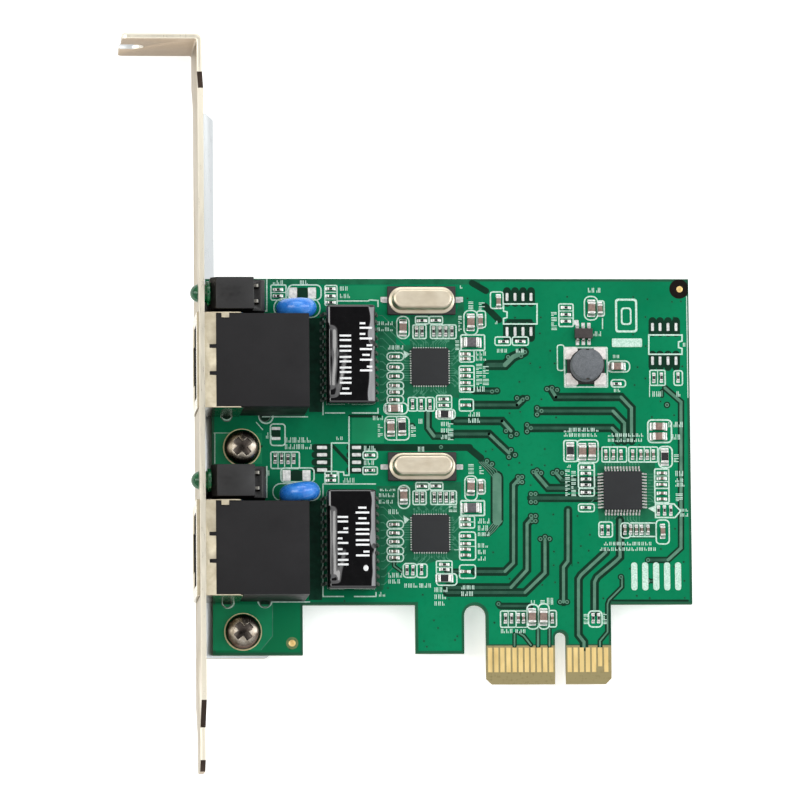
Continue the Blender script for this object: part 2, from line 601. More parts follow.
VIA = [
    (50.09,33.93), (50.99,33.6), (51.74,33.93), (48.23,28.49), (49.04,27.67), (49.95,28.0), (49.02,25.36), (49.66,24.54), (48.67,24.21), (55.04,35.41),
    (55.87,35.58), (56.69,35.25), (53.36,32.28), (53.35,31.21), (54.1,31.79), (51.69,29.48), (51.68,28.41), (52.34,28.98), (50.12,20.92),
    (50.78,20.92), (50.11,20.09), (50.77,20.09), (52.19,14.5), (52.93,14.5), (52.92,13.68), (52.34,13.68), (53.71,10.72), (54.45,11.05), (55.18,10.72),
    (56.8,0.37), (57.94,0.37), (46.7,0.07), (52.23,18.12), (52.96,18.12), (52.21,16.8), (52.95,16.8), (52.67,21.74), (53.25,21.98), (53.91,21.57),
    (55.88,21.57), (56.54,21.9), (57.36,21.57), (71.34,7.24), (66.86,4.46), (71.29,3.79), (74.78,32.77), (46.81,35.17), (45.99,35.0), (45.05,23.55),
    (45.87,23.06), (51.49,41.52), (50.82,40.86), (48.68,40.7), (32.8,29.32), (37.52,25.86),
]
SILK = [
    ([(9.17,53.55),(9.13,48.27),(5.56,48.02)],0.22), ([(8.96,22.76),(8.92,17.67),(5.36,17.51)],0.22), ([(18.34,47.12),(18.22,31.14)],0.22),
    ([(20.82,49.93),(25.75,49.93),(25.75,49.93),(26.08,50.1),(27.39,50.01),(27.39,48.94)],0.22), ([(18.55,31.47),(21.83,31.47)],0.22),
    ([(22.97,31.47),(27.24,31.46),(27.24,32.29)],0.22), ([(8.23,30.85),(15.76,30.84)],0.18), ([(22.48,30.89),(22.44,26.53)],0.22),
    ([(7.24,29.99),(8.38,28.68)],0.15), ([(18.13,19.8),(26.81,19.79)],0.2), ([(18.13,19.8),(17.99,1.35),(21.42,1.35)],0.2),
    ([(23.06,1.34),(26.66,1.34),(26.66,2.07)],0.2), ([(9.65,0.47),(15.86,0.46)],0.18), ([(0.49,28.19),(0.46,23.1)],0.15),
    ([(0.28,28.19),(4.28,28.18)],0.1), ([(71.94,36.07),(71.91,34.09)],0.13), ([(64.32,47.15),(64.3,45.33)],0.18), ([(39.5,8.97),(42.12,8.96)],0.08),
    ([(78.48,50.8),(78.26,33.93)],0.15), ([(9.84,51.32),(12.3,51.32)],0.15), ([(18.7,51.36),(20.67,51.36)],0.15), ([(18.69,50.26),(20.66,50.26)],0.15),
    ([(37.05,45.98),(37.03,43.75)],0.14), ([(38.04,45.98),(38.02,43.75)],0.14), ([(39.03,45.98),(39.01,43.75)],0.14),
    ([(34.15,45.97),(34.12,43.75)],0.14), ([(30.28,30.81),(30.25,27.02)],0.18), ([(36.85,33.24),(39.32,33.24)],0.14),
    ([(40.7,40.83),(43.09,40.83)],0.14), ([(40.68,38.12),(43.06,38.12)],0.14), ([(40.67,37.03),(43.05,37.03)],0.14),
    ([(40.66,35.98),(43.04,35.98)],0.14), ([(40.46,13.53),(42.9,13.53)],0.14), ([(40.43,10.58),(42.96,10.57)],0.19),
    ([(40.49,9.52),(42.95,9.52)],0.11), ([(36.87,18.63),(36.85,16.41)],0.14), ([(37.87,18.63),(37.85,16.41)],0.14),
    ([(38.87,18.63),(38.85,16.41)],0.14), ([(33.93,18.63),(33.91,16.41)],0.14), ([(36.59,6.1),(39.14,6.1)],0.14),
    ([(48.03,49.45),(53.55,49.46),(53.51,46.15),(48.0,46.15),(48.01,47.05),(48.58,47.22),(48.59,48.13),(48.02,48.29),(48.03,49.45)],0.24),
    ([(57.16,48.3),(59.47,48.3)],0.14), ([(57.15,47.14),(59.46,47.14)],0.14),
    ([(71.92,44.34),(77.41,44.34),(77.39,43.35),(76.81,43.18),(76.8,42.27),(77.38,42.11),(77.36,41.15),(71.88,41.15),(71.92,44.34)],0.24),
    ([(73.3,38.5),(73.27,36.02)],0.14), ([(65.26,25.85),(65.23,23.37)],0.17), ([(66.51,25.85),(66.48,23.37)],0.17),
    ([(69.72,25.84),(69.69,23.37)],0.17), ([(70.95,25.84),(70.92,23.37)],0.17), ([(71.99,25.84),(71.96,23.37)],0.17),
    ([(60.08,22.03),(62.63,22.03)],0.15), ([(72.63,19.02),(74.87,19.02)],0.22), ([(72.65,20.16),(74.89,20.15)],0.13),
    ([(72.66,21.06),(74.9,21.06)],0.11), ([(72.68,16.45),(75.73,16.45),(76.79,15.29),(75.87,14.22),(72.66,14.23),(72.68,16.45)],0.24),
    ([(68.45,13.33),(72.56,13.32)],0.22), ([(68.42,11.11),(72.7,11.1)],0.22), ([(69.02,13.16),(69.0,11.19)],0.11),
    ([(69.98,13.16),(69.95,11.19)],0.11), ([(70.91,13.16),(70.89,11.19)],0.11),
    ([(19.58,26.53),(22.44,26.53),(22.4,21.22),(21.58,21.22),(21.5,21.77),(20.52,21.77),(20.43,21.22),(19.53,21.22),(19.58,26.53)],0.23),
    ([(10.81,25.06),(10.79,22.43)],0.15), ([(11.89,25.06),(11.87,22.43)],0.15), ([(12.98,25.06),(12.96,22.43)],0.15),
    ([(48.28,-1.08),(48.26,-3.71)],0.15),
]
OVAL = [
    (9.83,50.08,12.31,52.56,0.2,0.22), (12.62,50.09,18.06,52.57,0.82,0.22), (10.31,47.2,17.87,50.34,1.47,0.19), (9.93,17.1,17.64,19.88,1.31,0.19),
    (18.69,49.18,20.68,52.49,0.24,0.22), (30.46,43.74,32.46,47.38,0.9,0.22), (33.52,46.14,35.67,47.38,0.2,0.22), (35.82,46.14,37.97,47.38,0.2,0.22),
    (33.09,43.74,35.25,45.97,0.2,0.22), (35.97,43.75,40.18,45.98,0.2,0.22), (28.79,40.13,31.51,41.42,0.59,0.19), (28.77,38.4,31.49,39.69,0.59,0.19),
    (28.76,36.92,31.48,38.2,0.59,0.19), (28.75,35.32,31.47,36.6,0.59,0.19), (28.74,34.28,31.46,35.57,0.59,0.19), (28.73,33.01,31.45,34.3,0.59,0.19),
    (28.55,12.5,31.26,13.77,0.59,0.19), (28.54,11.1,31.25,12.38,0.59,0.19), (28.53,9.71,31.24,10.98,0.59,0.19), (28.51,8.18,31.23,9.46,0.59,0.19),
    (28.5,7.05,31.22,8.33,0.59,0.19), (28.22,31.3,32.09,33.11,0.73,0.22), (28.35,27.02,32.32,30.89,0.73,0.22), (32.21,31.79,33.66,34.02,0.24,0.22),
    (33.69,31.79,35.1,34.02,0.24,0.22), (35.15,31.79,36.48,34.02,0.24,0.22), (36.84,32.15,39.33,34.34,0.24,0.22), (36.75,30.47,39.88,32.07,0.57,0.22),
    (40.7,39.87,43.1,41.8,0.2,0.22), (40.65,34.92,43.07,39.21,0.2,0.22), (40.59,31.79,42.9,33.72,0.26,0.22), (41.48,44.33,43.74,48.37,0.9,0.22),
    (43.63,45.57,45.05,48.29,0.33,0.22), (40.96,41.8,44.85,44.33,0.16,0.25), (41.38,17.06,43.39,21.09,0.82,0.22), (43.41,18.13,44.7,20.51,0.33,0.22),
    (40.7,14.6,44.55,17.01,0.16,0.28), (40.45,12.55,42.91,14.48,0.2,0.22), (40.4,7.29,43.03,11.89,0.36,0.22), (40.37,4.29,42.98,6.47,0.33,0.22),
    (30.43,15.76,32.3,19.54,0.85,0.22), (33.33,18.8,35.44,20.01,0.2,0.22), (35.65,18.79,37.76,20.01,0.2,0.22), (32.84,16.41,35.0,18.63,0.2,0.22),
    (35.76,16.41,39.97,18.63,0.2,0.22), (31.15,4.44,33.38,6.73,0.57,0.22), (33.39,4.44,35.05,6.65,0.33,0.22), (36.58,5.05,39.15,7.13,0.16,0.22),
    (36.56,3.15,39.92,5.05,0.57,0.22), (45.88,48.71,47.97,51.44,0.36,0.22), (46.56,42.63,49.13,44.0,0.29,0.22), (49.41,42.63,52.06,44.0,0.29,0.22),
    (57.13,45.74,59.48,49.46,0.2,0.22), (56.8,38.47,57.92,42.68,0.33,0.19), (61.35,46.81,63.54,50.7,0.9,0.22), (63.5,47.48,64.6,49.96,0.24,0.22),
    (57.98,35.74,65.0,42.25,0.1,0.24), (65.04,38.22,68.69,40.04,0.73,0.22), (72.02,36.02,74.52,38.5,0.2,0.22), (75.98,36.02,77.38,38.42,0.29,0.22),
    (65.59,35.74,67.99,36.93,0.49,0.22), (71.57,26.58,75.46,30.29,0.65,0.25), (59.93,23.3,63.34,27.0,0.57,0.24), (57.71,23.46,59.92,26.92,0.26,0.24),
    (63.96,23.38,68.02,25.84,0.2,0.22), (68.37,23.37,73.13,25.84,0.2,0.22), (73.3,22.46,75.52,25.92,0.73,0.24), (60.04,19.1,62.67,23.13,0.24,0.24),
    (60.11,17.78,62.63,19.05,0.24,0.22), (60.0,15.21,62.6,16.46,0.29,0.22), (72.6,16.68,74.91,22.21,0.16,0.24), (63.32,11.03,65.54,13.5,0.33,0.23),
    (66.94,10.86,68.45,13.33,0.49,0.2), (72.73,9.87,74.87,13.81,0.65,0.23), (24.71,23.85,27.07,25.16,0.41,0.22), (24.69,21.37,27.05,22.58,0.2,0.22),
    (18.46,19.8,20.69,21.85,0.23,0.22), (11.26,20.13,16.68,22.43,0.57,0.22), (9.59,26.13,11.98,29.66,0.49,0.23), (9.64,22.35,14.29,25.06,0.2,0.23),
    (47.01,-3.75,49.56,-1.09,0.2,0.22), (49.53,-3.76,51.36,-1.09,0.16,0.15), (51.37,-4.04,53.25,-0.03,0.73,0.23), (53.24,-4.05,54.99,0.08,0.73,0.23),
    (54.95,-3.72,56.17,-1.02,0.26,0.22), (61.43,-3.74,63.67,-1.12,0.65,0.24),
]
BARS = [
    (10.18,52.64,12.32,53.39), (14.61,52.4,16.09,53.39), (21.17,51.58,22.82,52.41), (21.16,50.34,22.81,51.17), (40.89,51.93,41.72,52.59),
    (42.18,48.62,43.1,50.11), (43.9,48.46,44.99,50.11), (43.41,40.03,45.56,41.69), (43.37,36.08,45.54,39.54), (43.52,34.92,45.18,35.91),
    (46.88,41.36,48.53,42.1), (50.0,41.36,51.49,42.1), (46.6,46.06,47.51,46.72), (55.81,45.16,56.83,48.3), (61.98,51.28,62.98,52.19),
    (63.38,51.28,64.46,52.19), (62.8,44.09,64.38,45.0), (65.97,40.45,67.13,41.11), (77.54,42.36,78.71,43.1), (8.86,27.2,9.85,28.35),
    (11.96,26.54,16.39,27.52), (11.95,25.47,16.38,26.4), (20.4,26.96,21.55,27.65), (24.89,25.21,26.86,26.12), (24.87,22.83,26.84,23.73),
    (26.41,30.23,28.05,31.05), (27.12,27.52,28.04,29.82), (32.53,27.59,33.46,29.73), (33.87,29.65,34.78,30.56), (37.56,29.24,39.04,30.06),
    (37.55,28.17,39.03,28.99), (37.54,27.1,39.02,27.92), (42.09,30.8,43.98,31.66), (42.08,29.78,43.97,30.64), (38.6,27.02,39.62,30.14),
    (57.75,27.5,59.25,28.93), (58.19,22.39,59.02,22.97), (41.91,21.42,42.92,23.14), (43.72,21.42,44.56,23.14), (64.13,9.59,72.36,10.28),
    (63.46,8.7,72.68,9.38), (57.81,17.78,58.68,22.39), (58.8,17.78,59.67,22.39), (43.47,13.2,45.62,14.18), (43.46,12.05,45.6,13.03),
    (43.45,11.15,45.59,11.88), (43.43,9.26,45.08,10.08), (43.42,8.19,45.07,9.01), (43.41,7.12,45.06,7.94), (21.41,19.96,23.54,20.86),
    (40.66,2.41,42.88,3.19), (40.65,1.31,42.87,2.2), (53.51,0.05,54.34,1.12), (54.66,-0.11,55.65,1.11), (52.03,-0.11,52.86,0.71),
    (47.06,-4.77,49.2,-3.95), (49.44,-4.77,51.17,-4.04), (60.61,-3.24,61.54,-1.36), (63.81,-3.25,64.49,-1.45), (28.73,4.36,30.94,5.26),
    (28.72,3.38,30.93,4.19), (31.33,2.72,33.55,3.53), (33.79,2.71,35.68,3.53), (36.24,1.97,38.46,2.87), (36.23,0.83,38.44,1.72),
    (36.22,-0.24,38.27,0.58), (27.15,1.25,28.13,2.15), (74.98,29.06,77.39,30.05), (75.62,26.99,76.87,27.98), (75.74,23.37,76.66,24.85),
    (76.03,20.98,77.78,21.96), (76.01,19.25,77.76,20.73), (75.98,16.94,77.24,18.67), (76.78,15.13,78.52,15.7), (76.77,14.31,78.51,14.96),
    (72.41,34.09,73.33,35.08), (73.4,34.09,74.32,35.08), (76.37,34.09,77.29,35.08), (66.07,34.84,67.07,35.5), (58.59,28.32,63.7,29.06),
    (58.58,27.47,63.69,28.15), (65.0,27.46,70.77,28.15), (64.99,26.64,70.76,27.29), (9.9,24.57,10.07,24.73), (27.46,18.56,30.08,19.05),
    (27.28,17.57,30.08,18.31), (27.27,16.5,29.9,17.24), (27.28,45.89,30.16,46.63), (27.27,44.9,30.15,45.64), (28.97,41.85,31.6,42.67),
    (33.74,25.04,34.9,25.98), (28.82,14.78,30.71,15.68), (8.98,21.12,9.8,22.1), (40.5,44.99,41.18,47.63), (39.97,41.85,40.73,43.42),
    (38.65,15.18,40.07,17.15),
]
FILL = [
    [(31.51,41.76),(32.57,41.19),(31.66,40.44)], [(31.27,14.61),(32.25,13.95),(31.42,13.21)], [(71.44,15.71),(72.6,16.2),(72.58,15.05)],
]
PADS = [
    (48.39,49.95,48.85,51.27), (48.33,44.16,48.79,45.65), (49.71,49.95,50.16,51.27), (49.65,44.16,50.11,45.65), (51.02,49.95,51.48,51.27),
    (50.96,44.16,51.42,45.65), (52.34,49.95,52.8,51.27), (52.28,44.17,52.74,45.65), (72.32,45.0,72.78,46.32), (72.25,39.38,72.71,40.78),
    (73.56,45.0,74.02,46.33), (73.49,39.38,73.95,40.78), (74.88,45.0,75.34,46.33), (74.81,39.38,75.27,40.78), (76.2,45.0,76.66,46.33),
    (76.13,39.38,76.59,40.78), (17.19,25.52,18.84,26.07), (22.93,25.51,24.41,26.07), (17.18,24.32,18.83,24.87), (22.92,24.31,24.4,24.87),
    (17.17,23.08,18.82,23.64), (22.91,23.08,24.39,23.64), (17.17,21.82,18.81,22.38), (22.9,21.81,24.37,22.37), (12.79,50.33,14.11,52.15),
    (15.9,50.34,17.23,52.15), (11.51,20.3,12.83,22.1), (14.78,20.29,16.1,22.1), (9.77,28.68,11.24,29.17), (9.76,27.03,11.23,27.52),
    (59.61,45.99,60.36,46.81), (27.8,49.75,29.04,50.61), (40.13,49.76,41.37,50.62), (27.57,22.15,28.8,23.01), (39.87,22.14,41.11,23.0),
]
POUR = [
    [(0.03,0.08),(9.75,0.06),(9.71,-5.09),(7.8,-7.45),(-0.02,-7.43)], [(0.49,28.19),(8.21,28.18),(8.18,23.09),(0.46,23.1)],
    [(21.99,52.49),(29.06,52.49),(29.04,49.93),(27.56,49.93),(27.56,50.26),(21.98,50.26)], [(22.97,30.64),(28.21,30.64),(28.18,26.53),(22.93,26.53)],
]
DARK = [
   
    [(27.28,46.47),(30.32,46.47),(30.29,42.67),(32.59,42.67),(32.63,47.46),(40.19,47.46),(40.71,50.11),(41.53,50.11),(41.48,44.33),(40.96,41.85),(40.56,33.93),(36.45,34.26),(34.97,33.93),(31.52,33.93),(31.52,33.11),(28.24,33.11),(27.41,32.78)],
    [(26.89,19.46),(30.09,19.46),(32.87,19.62),(32.88,20.11),(40.26,20.1),(40.75,20.1),(40.7,14.52),(40.3,7.29),(36.53,7.14),(35.05,6.65),(31.29,6.82),(28.66,6.33),(27.81,2.4),(26.74,2.07)],
    [(63.06,17.12),(63.13,22.88),(64.29,23.38),(72.69,23.37),(72.57,13.98),(70.1,13.49),(65.49,13.83),(63.35,13.66)],
    [(-0.96,53.54),(44.2,53.58),(44.19,52.67),(-0.96,52.63)], [(46.94,-0.75),(56.13,-0.77),(56.09,-4.05),(46.91,-4.03)],
    [(66.81,13.66),(72.73,13.65),(72.69,10.69),(66.77,10.7)],
]
RING = [
    ((2.42,31.31),1.0), ((8.88,30.9),1.15), ((2.47,0.49),1.0), ((8.51,0.72),1.15),
]
BROAD = (65.83, 42.35, 70.79, 43.76)

# ------------------------------------------------------------------ materials
random.seed(7)
MASK_END = -6.75      # the mask stops above the fingers

# the board itself: mask over bare laminate, laminate at the routed edges, bare laminate round the fingers
board = Mat("board_laminate", spec=0.25)
green = board.ramp(board.noise(9.0, 4.0), (0.3, (6, 70, 46)), (0.7, (10, 82, 54)))
weave = board.math("ADD", board.cells(0.42, (1, 0.35, 1)), board.cells(0.42, (0.35, 1, 1)))
bare = board.ramp(weave, (0.2, (124, 112, 74)), (0.9, (142, 131, 92)))
edge = board.ramp(board.noise(0.16, 4.0, stretch=(0.35, 0.35, 3.2)), (0.3, (38, 74, 50)), (0.7, (84, 108, 70)))
edge_gold = board.ramp(board.noise(0.16, 4.0, stretch=(0.35, 0.35, 3.2)), (0.3, (112, 98, 60)), (0.7, (150, 136, 96)))
y_mm = board.math("MULTIPLY_ADD", board.axis(1), 1000.0)
y_mm.node.inputs[2].default_value = -OY
x_mm = board.math("MULTIPLY_ADD", board.axis(0), 1000.0)
x_mm.node.inputs[2].default_value = -OX
off_connector = board.math("LESS_THAN", x_mm, 43.6)
in_mask = board.math("MAXIMUM", board.math("GREATER_THAN", y_mm, MASK_END), off_connector)
flat = board.math("GREATER_THAN", board.math("ABSOLUTE", board.facing()), 0.72)
top = board.mix(in_mask, bare, green)
in_foot = board.math("MAXIMUM", board.math("GREATER_THAN", y_mm, -9.0), off_connector)
side = board.mix(in_foot, edge_gold, edge)
board.colour(board.mix(flat, side, top))
board.rough(board.mix(flat, (0.72, 0.72, 0.72, 1), board.span(board.noise(2.0), 0.3, 0.7, 0.30, 0.42)))
board.bump(board.noise(0.9, 4.0), dist=0.012, strength=0.45)

# mask over copper: brighter, a little mottled
pour = Mat("mask_over_copper", spec=0.06)
pc = pour.ramp(pour.noise(14.0, 5.0), (0.28, (1, 106, 69)), (0.72, (4, 121, 80)))
pm = pour.mix(pour.span(pour.noise(0.8, 5.0), 0.5, 0.8, 0.0, 0.35), pc, (0, 93, 58))
p_y = pour.math("MULTIPLY_ADD", pour.axis(1), 1000.0)
p_y.node.inputs[2].default_value = -OY
p_x = pour.math("MULTIPLY_ADD", pour.axis(0), 1000.0)
p_x.node.inputs[2].default_value = -OX
pour.colour(pour.mix(pour.math("MULTIPLY", pour.span(p_y, 6.0, -6.0, 0.0, 1.0), pour.math("LESS_THAN", p_x, 20.0)), pm, (11, 106, 66)))
pour.rough(pour.span(pour.noise(3.0), 0.3, 0.7, 0.30, 0.44)).bump(pour.noise(1.1, 4.0), dist=0.012, strength=0.4)

zone = simple("mask_over_tracks", (6, 82, 54), (16, 102, 68), 1.6, (0.32, 0.45), bump=0.012, bsize=0.7, spec=0.15)
gap = simple("mask_over_gap", (0, 37, 22), (1, 49, 31), 2.5, (0.34, 0.46), bump=0.01, bsize=0.8, spec=0.12)
track = simple("mask_over_track", (64, 108, 87), (88, 129, 108), 1.8, (0.28, 0.4), bump=0.01, bsize=0.8, spec=0.3)
track_low = simple("mask_over_track_low", (20, 64, 47), (38, 82, 63), 1.8, (0.3, 0.42), bump=0.01, bsize=0.8, spec=0.25)
thin = simple("mask_over_thin_track", (36, 106, 78), (66, 130, 102), 1.2, (0.3, 0.42), bump=0.008, bsize=0.5, spec=0.25)
plate_green = simple("mask_over_field", (3, 118, 76), (9, 132, 86), 6.0, (0.30, 0.42), bump=0.01, bsize=1.0, spec=0.16)

silk = Mat("print_white", rough=0.6, spec=0.3)
silk.colour(silk.ramp(silk.noise(0.22, 4.0), (0.30, (142, 184, 164)), (0.62, (198, 220, 208))))
silk.bump(silk.noise(0.12, 3.0), dist=0.008, strength=0.5)

tin = simple("tin_solder", (184, 186, 184), (232, 232, 228), 0.5, (0.34, 0.50), metal=1.0, bump=0.03, bsize=0.35)
pin_dark = simple("tin_in_resin_film", (64, 78, 70), (104, 114, 106), 0.4, (0.36, 0.5), metal=0.9, bump=0.01, bsize=0.15)
tin_dull = simple("tin_plated_leads", (176, 176, 174), (214, 213, 208), 0.4, (0.28, 0.44), metal=1.0, bump=0.01, bsize=0.15)
gold = simple("gold_contact", (222, 192, 126), (238, 212, 148), 1.2, (0.34, 0.46), metal=1.0, bump=0.006, bsize=0.3, stretch=(1.0, 0.25, 1.0))
gold_ring = simple("gold_ring", (214, 178, 110), (240, 214, 150), 0.8, (0.3, 0.45), metal=1.0, bump=0.01, bsize=0.2)

steel = Mat("bracket_plated_steel", metal=1.0)
st_line = steel.noise(0.10, 3.0, stretch=(1.0, 0.03, 1.0))
st_blot = steel.noise(9.0, 4.0)
st_col = steel.mix(steel.span(st_blot, 0.35, 0.75, 0.0, 0.5), steel.ramp(st_line, (0.3, (214, 207, 194)), (0.7, (233, 229, 217))), (208, 201, 188))
# the sloping cut edges at the shoulders and the tip are left dark from the press
st_n = steel.node("ShaderNodeNewGeometry").outputs["Normal"]
st_slope = steel.math("MINIMUM", steel.math("ABSOLUTE", steel.axis(1, st_n)), steel.math("ABSOLUTE", steel.axis(2, st_n)))
st_y = steel.math("MULTIPLY_ADD", steel.axis(1), 1000.0)
st_y.node.inputs[2].default_value = -OY
st_where = steel.math("MAXIMUM", steel.math("LESS_THAN", st_y, -16.6), steel.math("MULTIPLY", steel.math("GREATER_THAN", st_y, 82.6), steel.math("LESS_THAN", st_y, 86.0)))
st_down = steel.math("LESS_THAN", steel.axis(1, st_n), -0.7)
st_col = steel.mix(st_down, st_col, (206, 191, 174))
st_z = steel.math("MULTIPLY_ADD", steel.axis(2), 1000.0)
st_z.node.inputs[2].default_value = -OZ
st_up = steel.math("GREATER_THAN", steel.axis(2, st_n), 0.8)
st_col = steel.mix(steel.math("MULTIPLY", st_up, steel.math("LESS_THAN", st_z, 2.0)), st_col, (194, 198, 199))
st_col = steel.mix(steel.math("MULTIPLY", st_up, steel.math("GREATER_THAN", st_z, 2.0)), st_col, (230, 223, 204))
st_cut = steel.math("MULTIPLY", steel.math("GREATER_THAN", st_slope, 0.35), st_where)
# brushed zinc loses brightness at a grazing look
steel.b.inputs["Specular Tint"].default_value = (0.43, 0.40, 0.355, 1.0)
steel.colour(steel.mix(st_cut, st_col, (70, 60, 54)))
steel.rough(steel.span(st_line, 0.3, 0.7, 0.26, 0.40)).bump(st_line, dist=0.010, strength=0.35)

shell_tin = Mat("shell_plated_sheet", metal=1.0)
shell_tin.colour(shell_tin.ramp(shell_tin.noise(1.1, 4.0), (0.3, (181, 170, 146)), (0.7, (201, 192, 169))))
sh_up = shell_tin.math("GREATER_THAN", shell_tin.facing(), 0.7)
shell_tin.rough(shell_tin.mix(sh_up, (0.16, 0.16, 0.16, 1), (0.50, 0.50, 0.50, 1)))
shell_tin.bump(shell_tin.noise(0.4, 3.0), dist=0.006, strength=0.4)
nickel = Mat("screw_plated", metal=1.0)
nk = nickel.ramp(nickel.noise(0.8, 4.0), (0.3, (128, 117, 103)), (0.7, (176, 169, 157)))


def screw_distance(mat, x, y):
    v = mat.node("ShaderNodeVectorMath")
    v.operation = "DISTANCE"
    c = mat.node("ShaderNodeCombineXYZ")
    mat.link(mat.axis(0), c.inputs[0])
    mat.link(mat.axis(1), c.inputs[1])
    mat.link(c.outputs[0], v.inputs[0])
    v.inputs[1].default_value = ((x + OX) / 1000.0, (y + OY) / 1000.0, 0.0)
    return v.outputs["Value"]


nk_r = nickel.math("MULTIPLY", nickel.math("MINIMUM", screw_distance(nickel, 4.90, 25.80), screw_distance(nickel, 4.90, -4.40)), 1000.0)
nk_z = nickel.math("MULTIPLY_ADD", nickel.axis(2), 1000.0)
nk_z.node.inputs[2].default_value = -OZ
nk = nickel.mix(nickel.span(nk_r, 2.05, 2.60, 0.0, 0.93), nk, (66, 44, 34))
deep = nickel.math("MULTIPLY", nickel.math("LESS_THAN", nk_r, 1.75), nickel.span(nk_z, 1.78, 1.35, 0.0, 0.9))
nickel.colour(nickel.mix(deep, nk, (44, 38, 36)))
nickel.rough(nickel.span(nickel.noise(0.35, 4.0), 0.3, 0.7, 0.16, 0.30)).bump(nickel.noise(0.3, 3.0), dist=0.008, strength=0.4)

socket = Mat("socket_moulded", spec=0.25)
so_fine = socket.cells(0.09)
socket.colour(socket.mix(socket.span(socket.noise(6.0, 4.0), 0.45, 0.75, 0.0, 0.7), socket.ramp(so_fine, (0.1, (15, 14, 16)), (0.8, (20, 19, 21))), (11, 10, 12)))
socket.rough(socket.span(socket.noise(4.5, 3.0), 0.3, 0.7, 0.44, 0.60)).bump(so_fine, dist=0.012, strength=0.5)
insert = simple("insert_moulded", (24, 24, 26), (36, 35, 37), 0.5, (0.42, 0.55), bump=0.01, bsize=0.15)
holder = simple("holder_moulded", (5, 4, 4), (12, 10, 10), 1.3, (0.30, 0.46), bump=0.012, bsize=0.3)

epoxy = Mat("epoxy_gloss", rough=0.09, spec=0.4, coat=1.0, coat_rough=0.03)
epoxy.b.inputs["Coat IOR"].default_value = 1.65
epoxy.put(epoxy.span(epoxy.facing(), 0.80, 0.93, 0.12, 1.0), epoxy.b.inputs["Coat Weight"])
epoxy.colour(epoxy.ramp(epoxy.noise(1.6, 4.0), (0.3, (8, 8, 9)), (0.7, (14, 13, 14))))
epoxy.rough(epoxy.span(epoxy.noise(0.9, 4.0), 0.35, 0.7, 0.06, 0.16)).bump(epoxy.noise(2.4, 2.0), dist=0.05, strength=0.5)

chip = Mat("chip_moulded", spec=0.32)
ch_fine = chip.cells(0.05)
chip.colour(chip.mix(chip.span(chip.noise(1.5, 4.0), 0.4, 0.7, 0.0, 0.6), chip.ramp(ch_fine, (0.1, (21, 23, 25)), (0.8, (30, 32, 34))), (24, 25, 27)))
chip.rough(chip.span(ch_fine, 0.2, 0.8, 0.5, 0.66)).bump(ch_fine, dist=0.008, strength=0.5)
chip_mark = simple("chip_laser_mark", (66, 66, 68), (80, 80, 82), 0.2, (0.5, 0.65), bump=0.004, bsize=0.08)
reg_mat = simple("regulator_moulded", (34, 27, 26), (50, 41, 39), 0.3, (0.45, 0.6), bump=0.008, bsize=0.08)

can = Mat("crystal_can_nickel", metal=1.0)
can.colour(can.ramp(can.noise(2.6, 4.0, stretch=(1, 1.5, 1)), (0.3, (200, 188, 165)), (0.7, (217, 207, 186))))
can.rough(can.span(can.noise(0.5, 3.0, stretch=(0.3, 1, 1)), 0.3, 0.7, 0.36, 0.42)).bump(can.noise(0.35, 3.0, stretch=(0.3, 1, 1)), dist=0.002, strength=0.25)
seat = simple("seat_moulded", (20, 17, 16), (34, 29, 27), 0.6, (0.45, 0.6), bump=0.01, bsize=0.12)

blue = Mat("disc_blue_lacquer", rough=0.22, spec=0.5, coat=0.5, coat_rough=0.08)
blue.colour(blue.ramp(blue.noise(1.3, 4.0), (0.3, (30, 110, 204)), (0.7, (58, 140, 228))))
blue.rough(blue.span(blue.noise(0.8, 3.0), 0.3, 0.7, 0.18, 0.34)).bump(blue.noise(1.1, 3.0), dist=0.06, strength=0.5)
leg_wire = simple("lamp_leg_wire", (104, 102, 96), (146, 143, 135), 0.8, (0.3, 0.44), metal=1.0, bump=0.006, bsize=0.2)
wire = simple("tinned_wire", (190, 188, 182), (226, 224, 218), 0.8, (0.22, 0.36), metal=1.0, bump=0.006, bsize=0.2)

lamp = Mat("lamp_green_clear", rough=0.10, spec=0.5)
lamp.colour(lamp.ramp(lamp.noise(0.9, 3.0), (0.3, (0, 98, 54)), (0.7, (10, 126, 70))))
lamp.b.inputs["Transmission Weight"].default_value = 0.55
lamp.b.inputs["IOR"].default_value = 1.5
lamp.rough(lamp.span(lamp.noise(0.5, 3.0), 0.3, 0.7, 0.06, 0.16)).bump(lamp.noise(0.8, 2.0), dist=0.01, strength=0.3)

ceramic = simple("ceramic_brown", (104, 84, 76), (142, 118, 106), 0.35, (0.34, 0.5), bump=0.01, bsize=0.12)
ceramic_small = simple("ceramic_brown_small", (92, 78, 72), (128, 112, 102), 0.3, (0.34, 0.5), bump=0.008, bsize=0.1)
glaze = simple("resistor_glaze", (14, 14, 16), (32, 32, 35), 0.3, (0.25, 0.4), bump=0.008, bsize=0.12)
alumina = simple("resistor_alumina", (196, 198, 194), (222, 222, 218), 0.3, (0.5, 0.65), bump=0.006, bsize=0.08)
ends = simple("chip_end_tin", (186, 186, 182), (230, 229, 224), 0.3, (0.24, 0.42), metal=1.0, bump=0.02, bsize=0.18)
bead = simple("ferrite_bead", (62, 60, 64), (92, 88, 92), 0.4, (0.4, 0.55), bump=0.012, bsize=0.12)

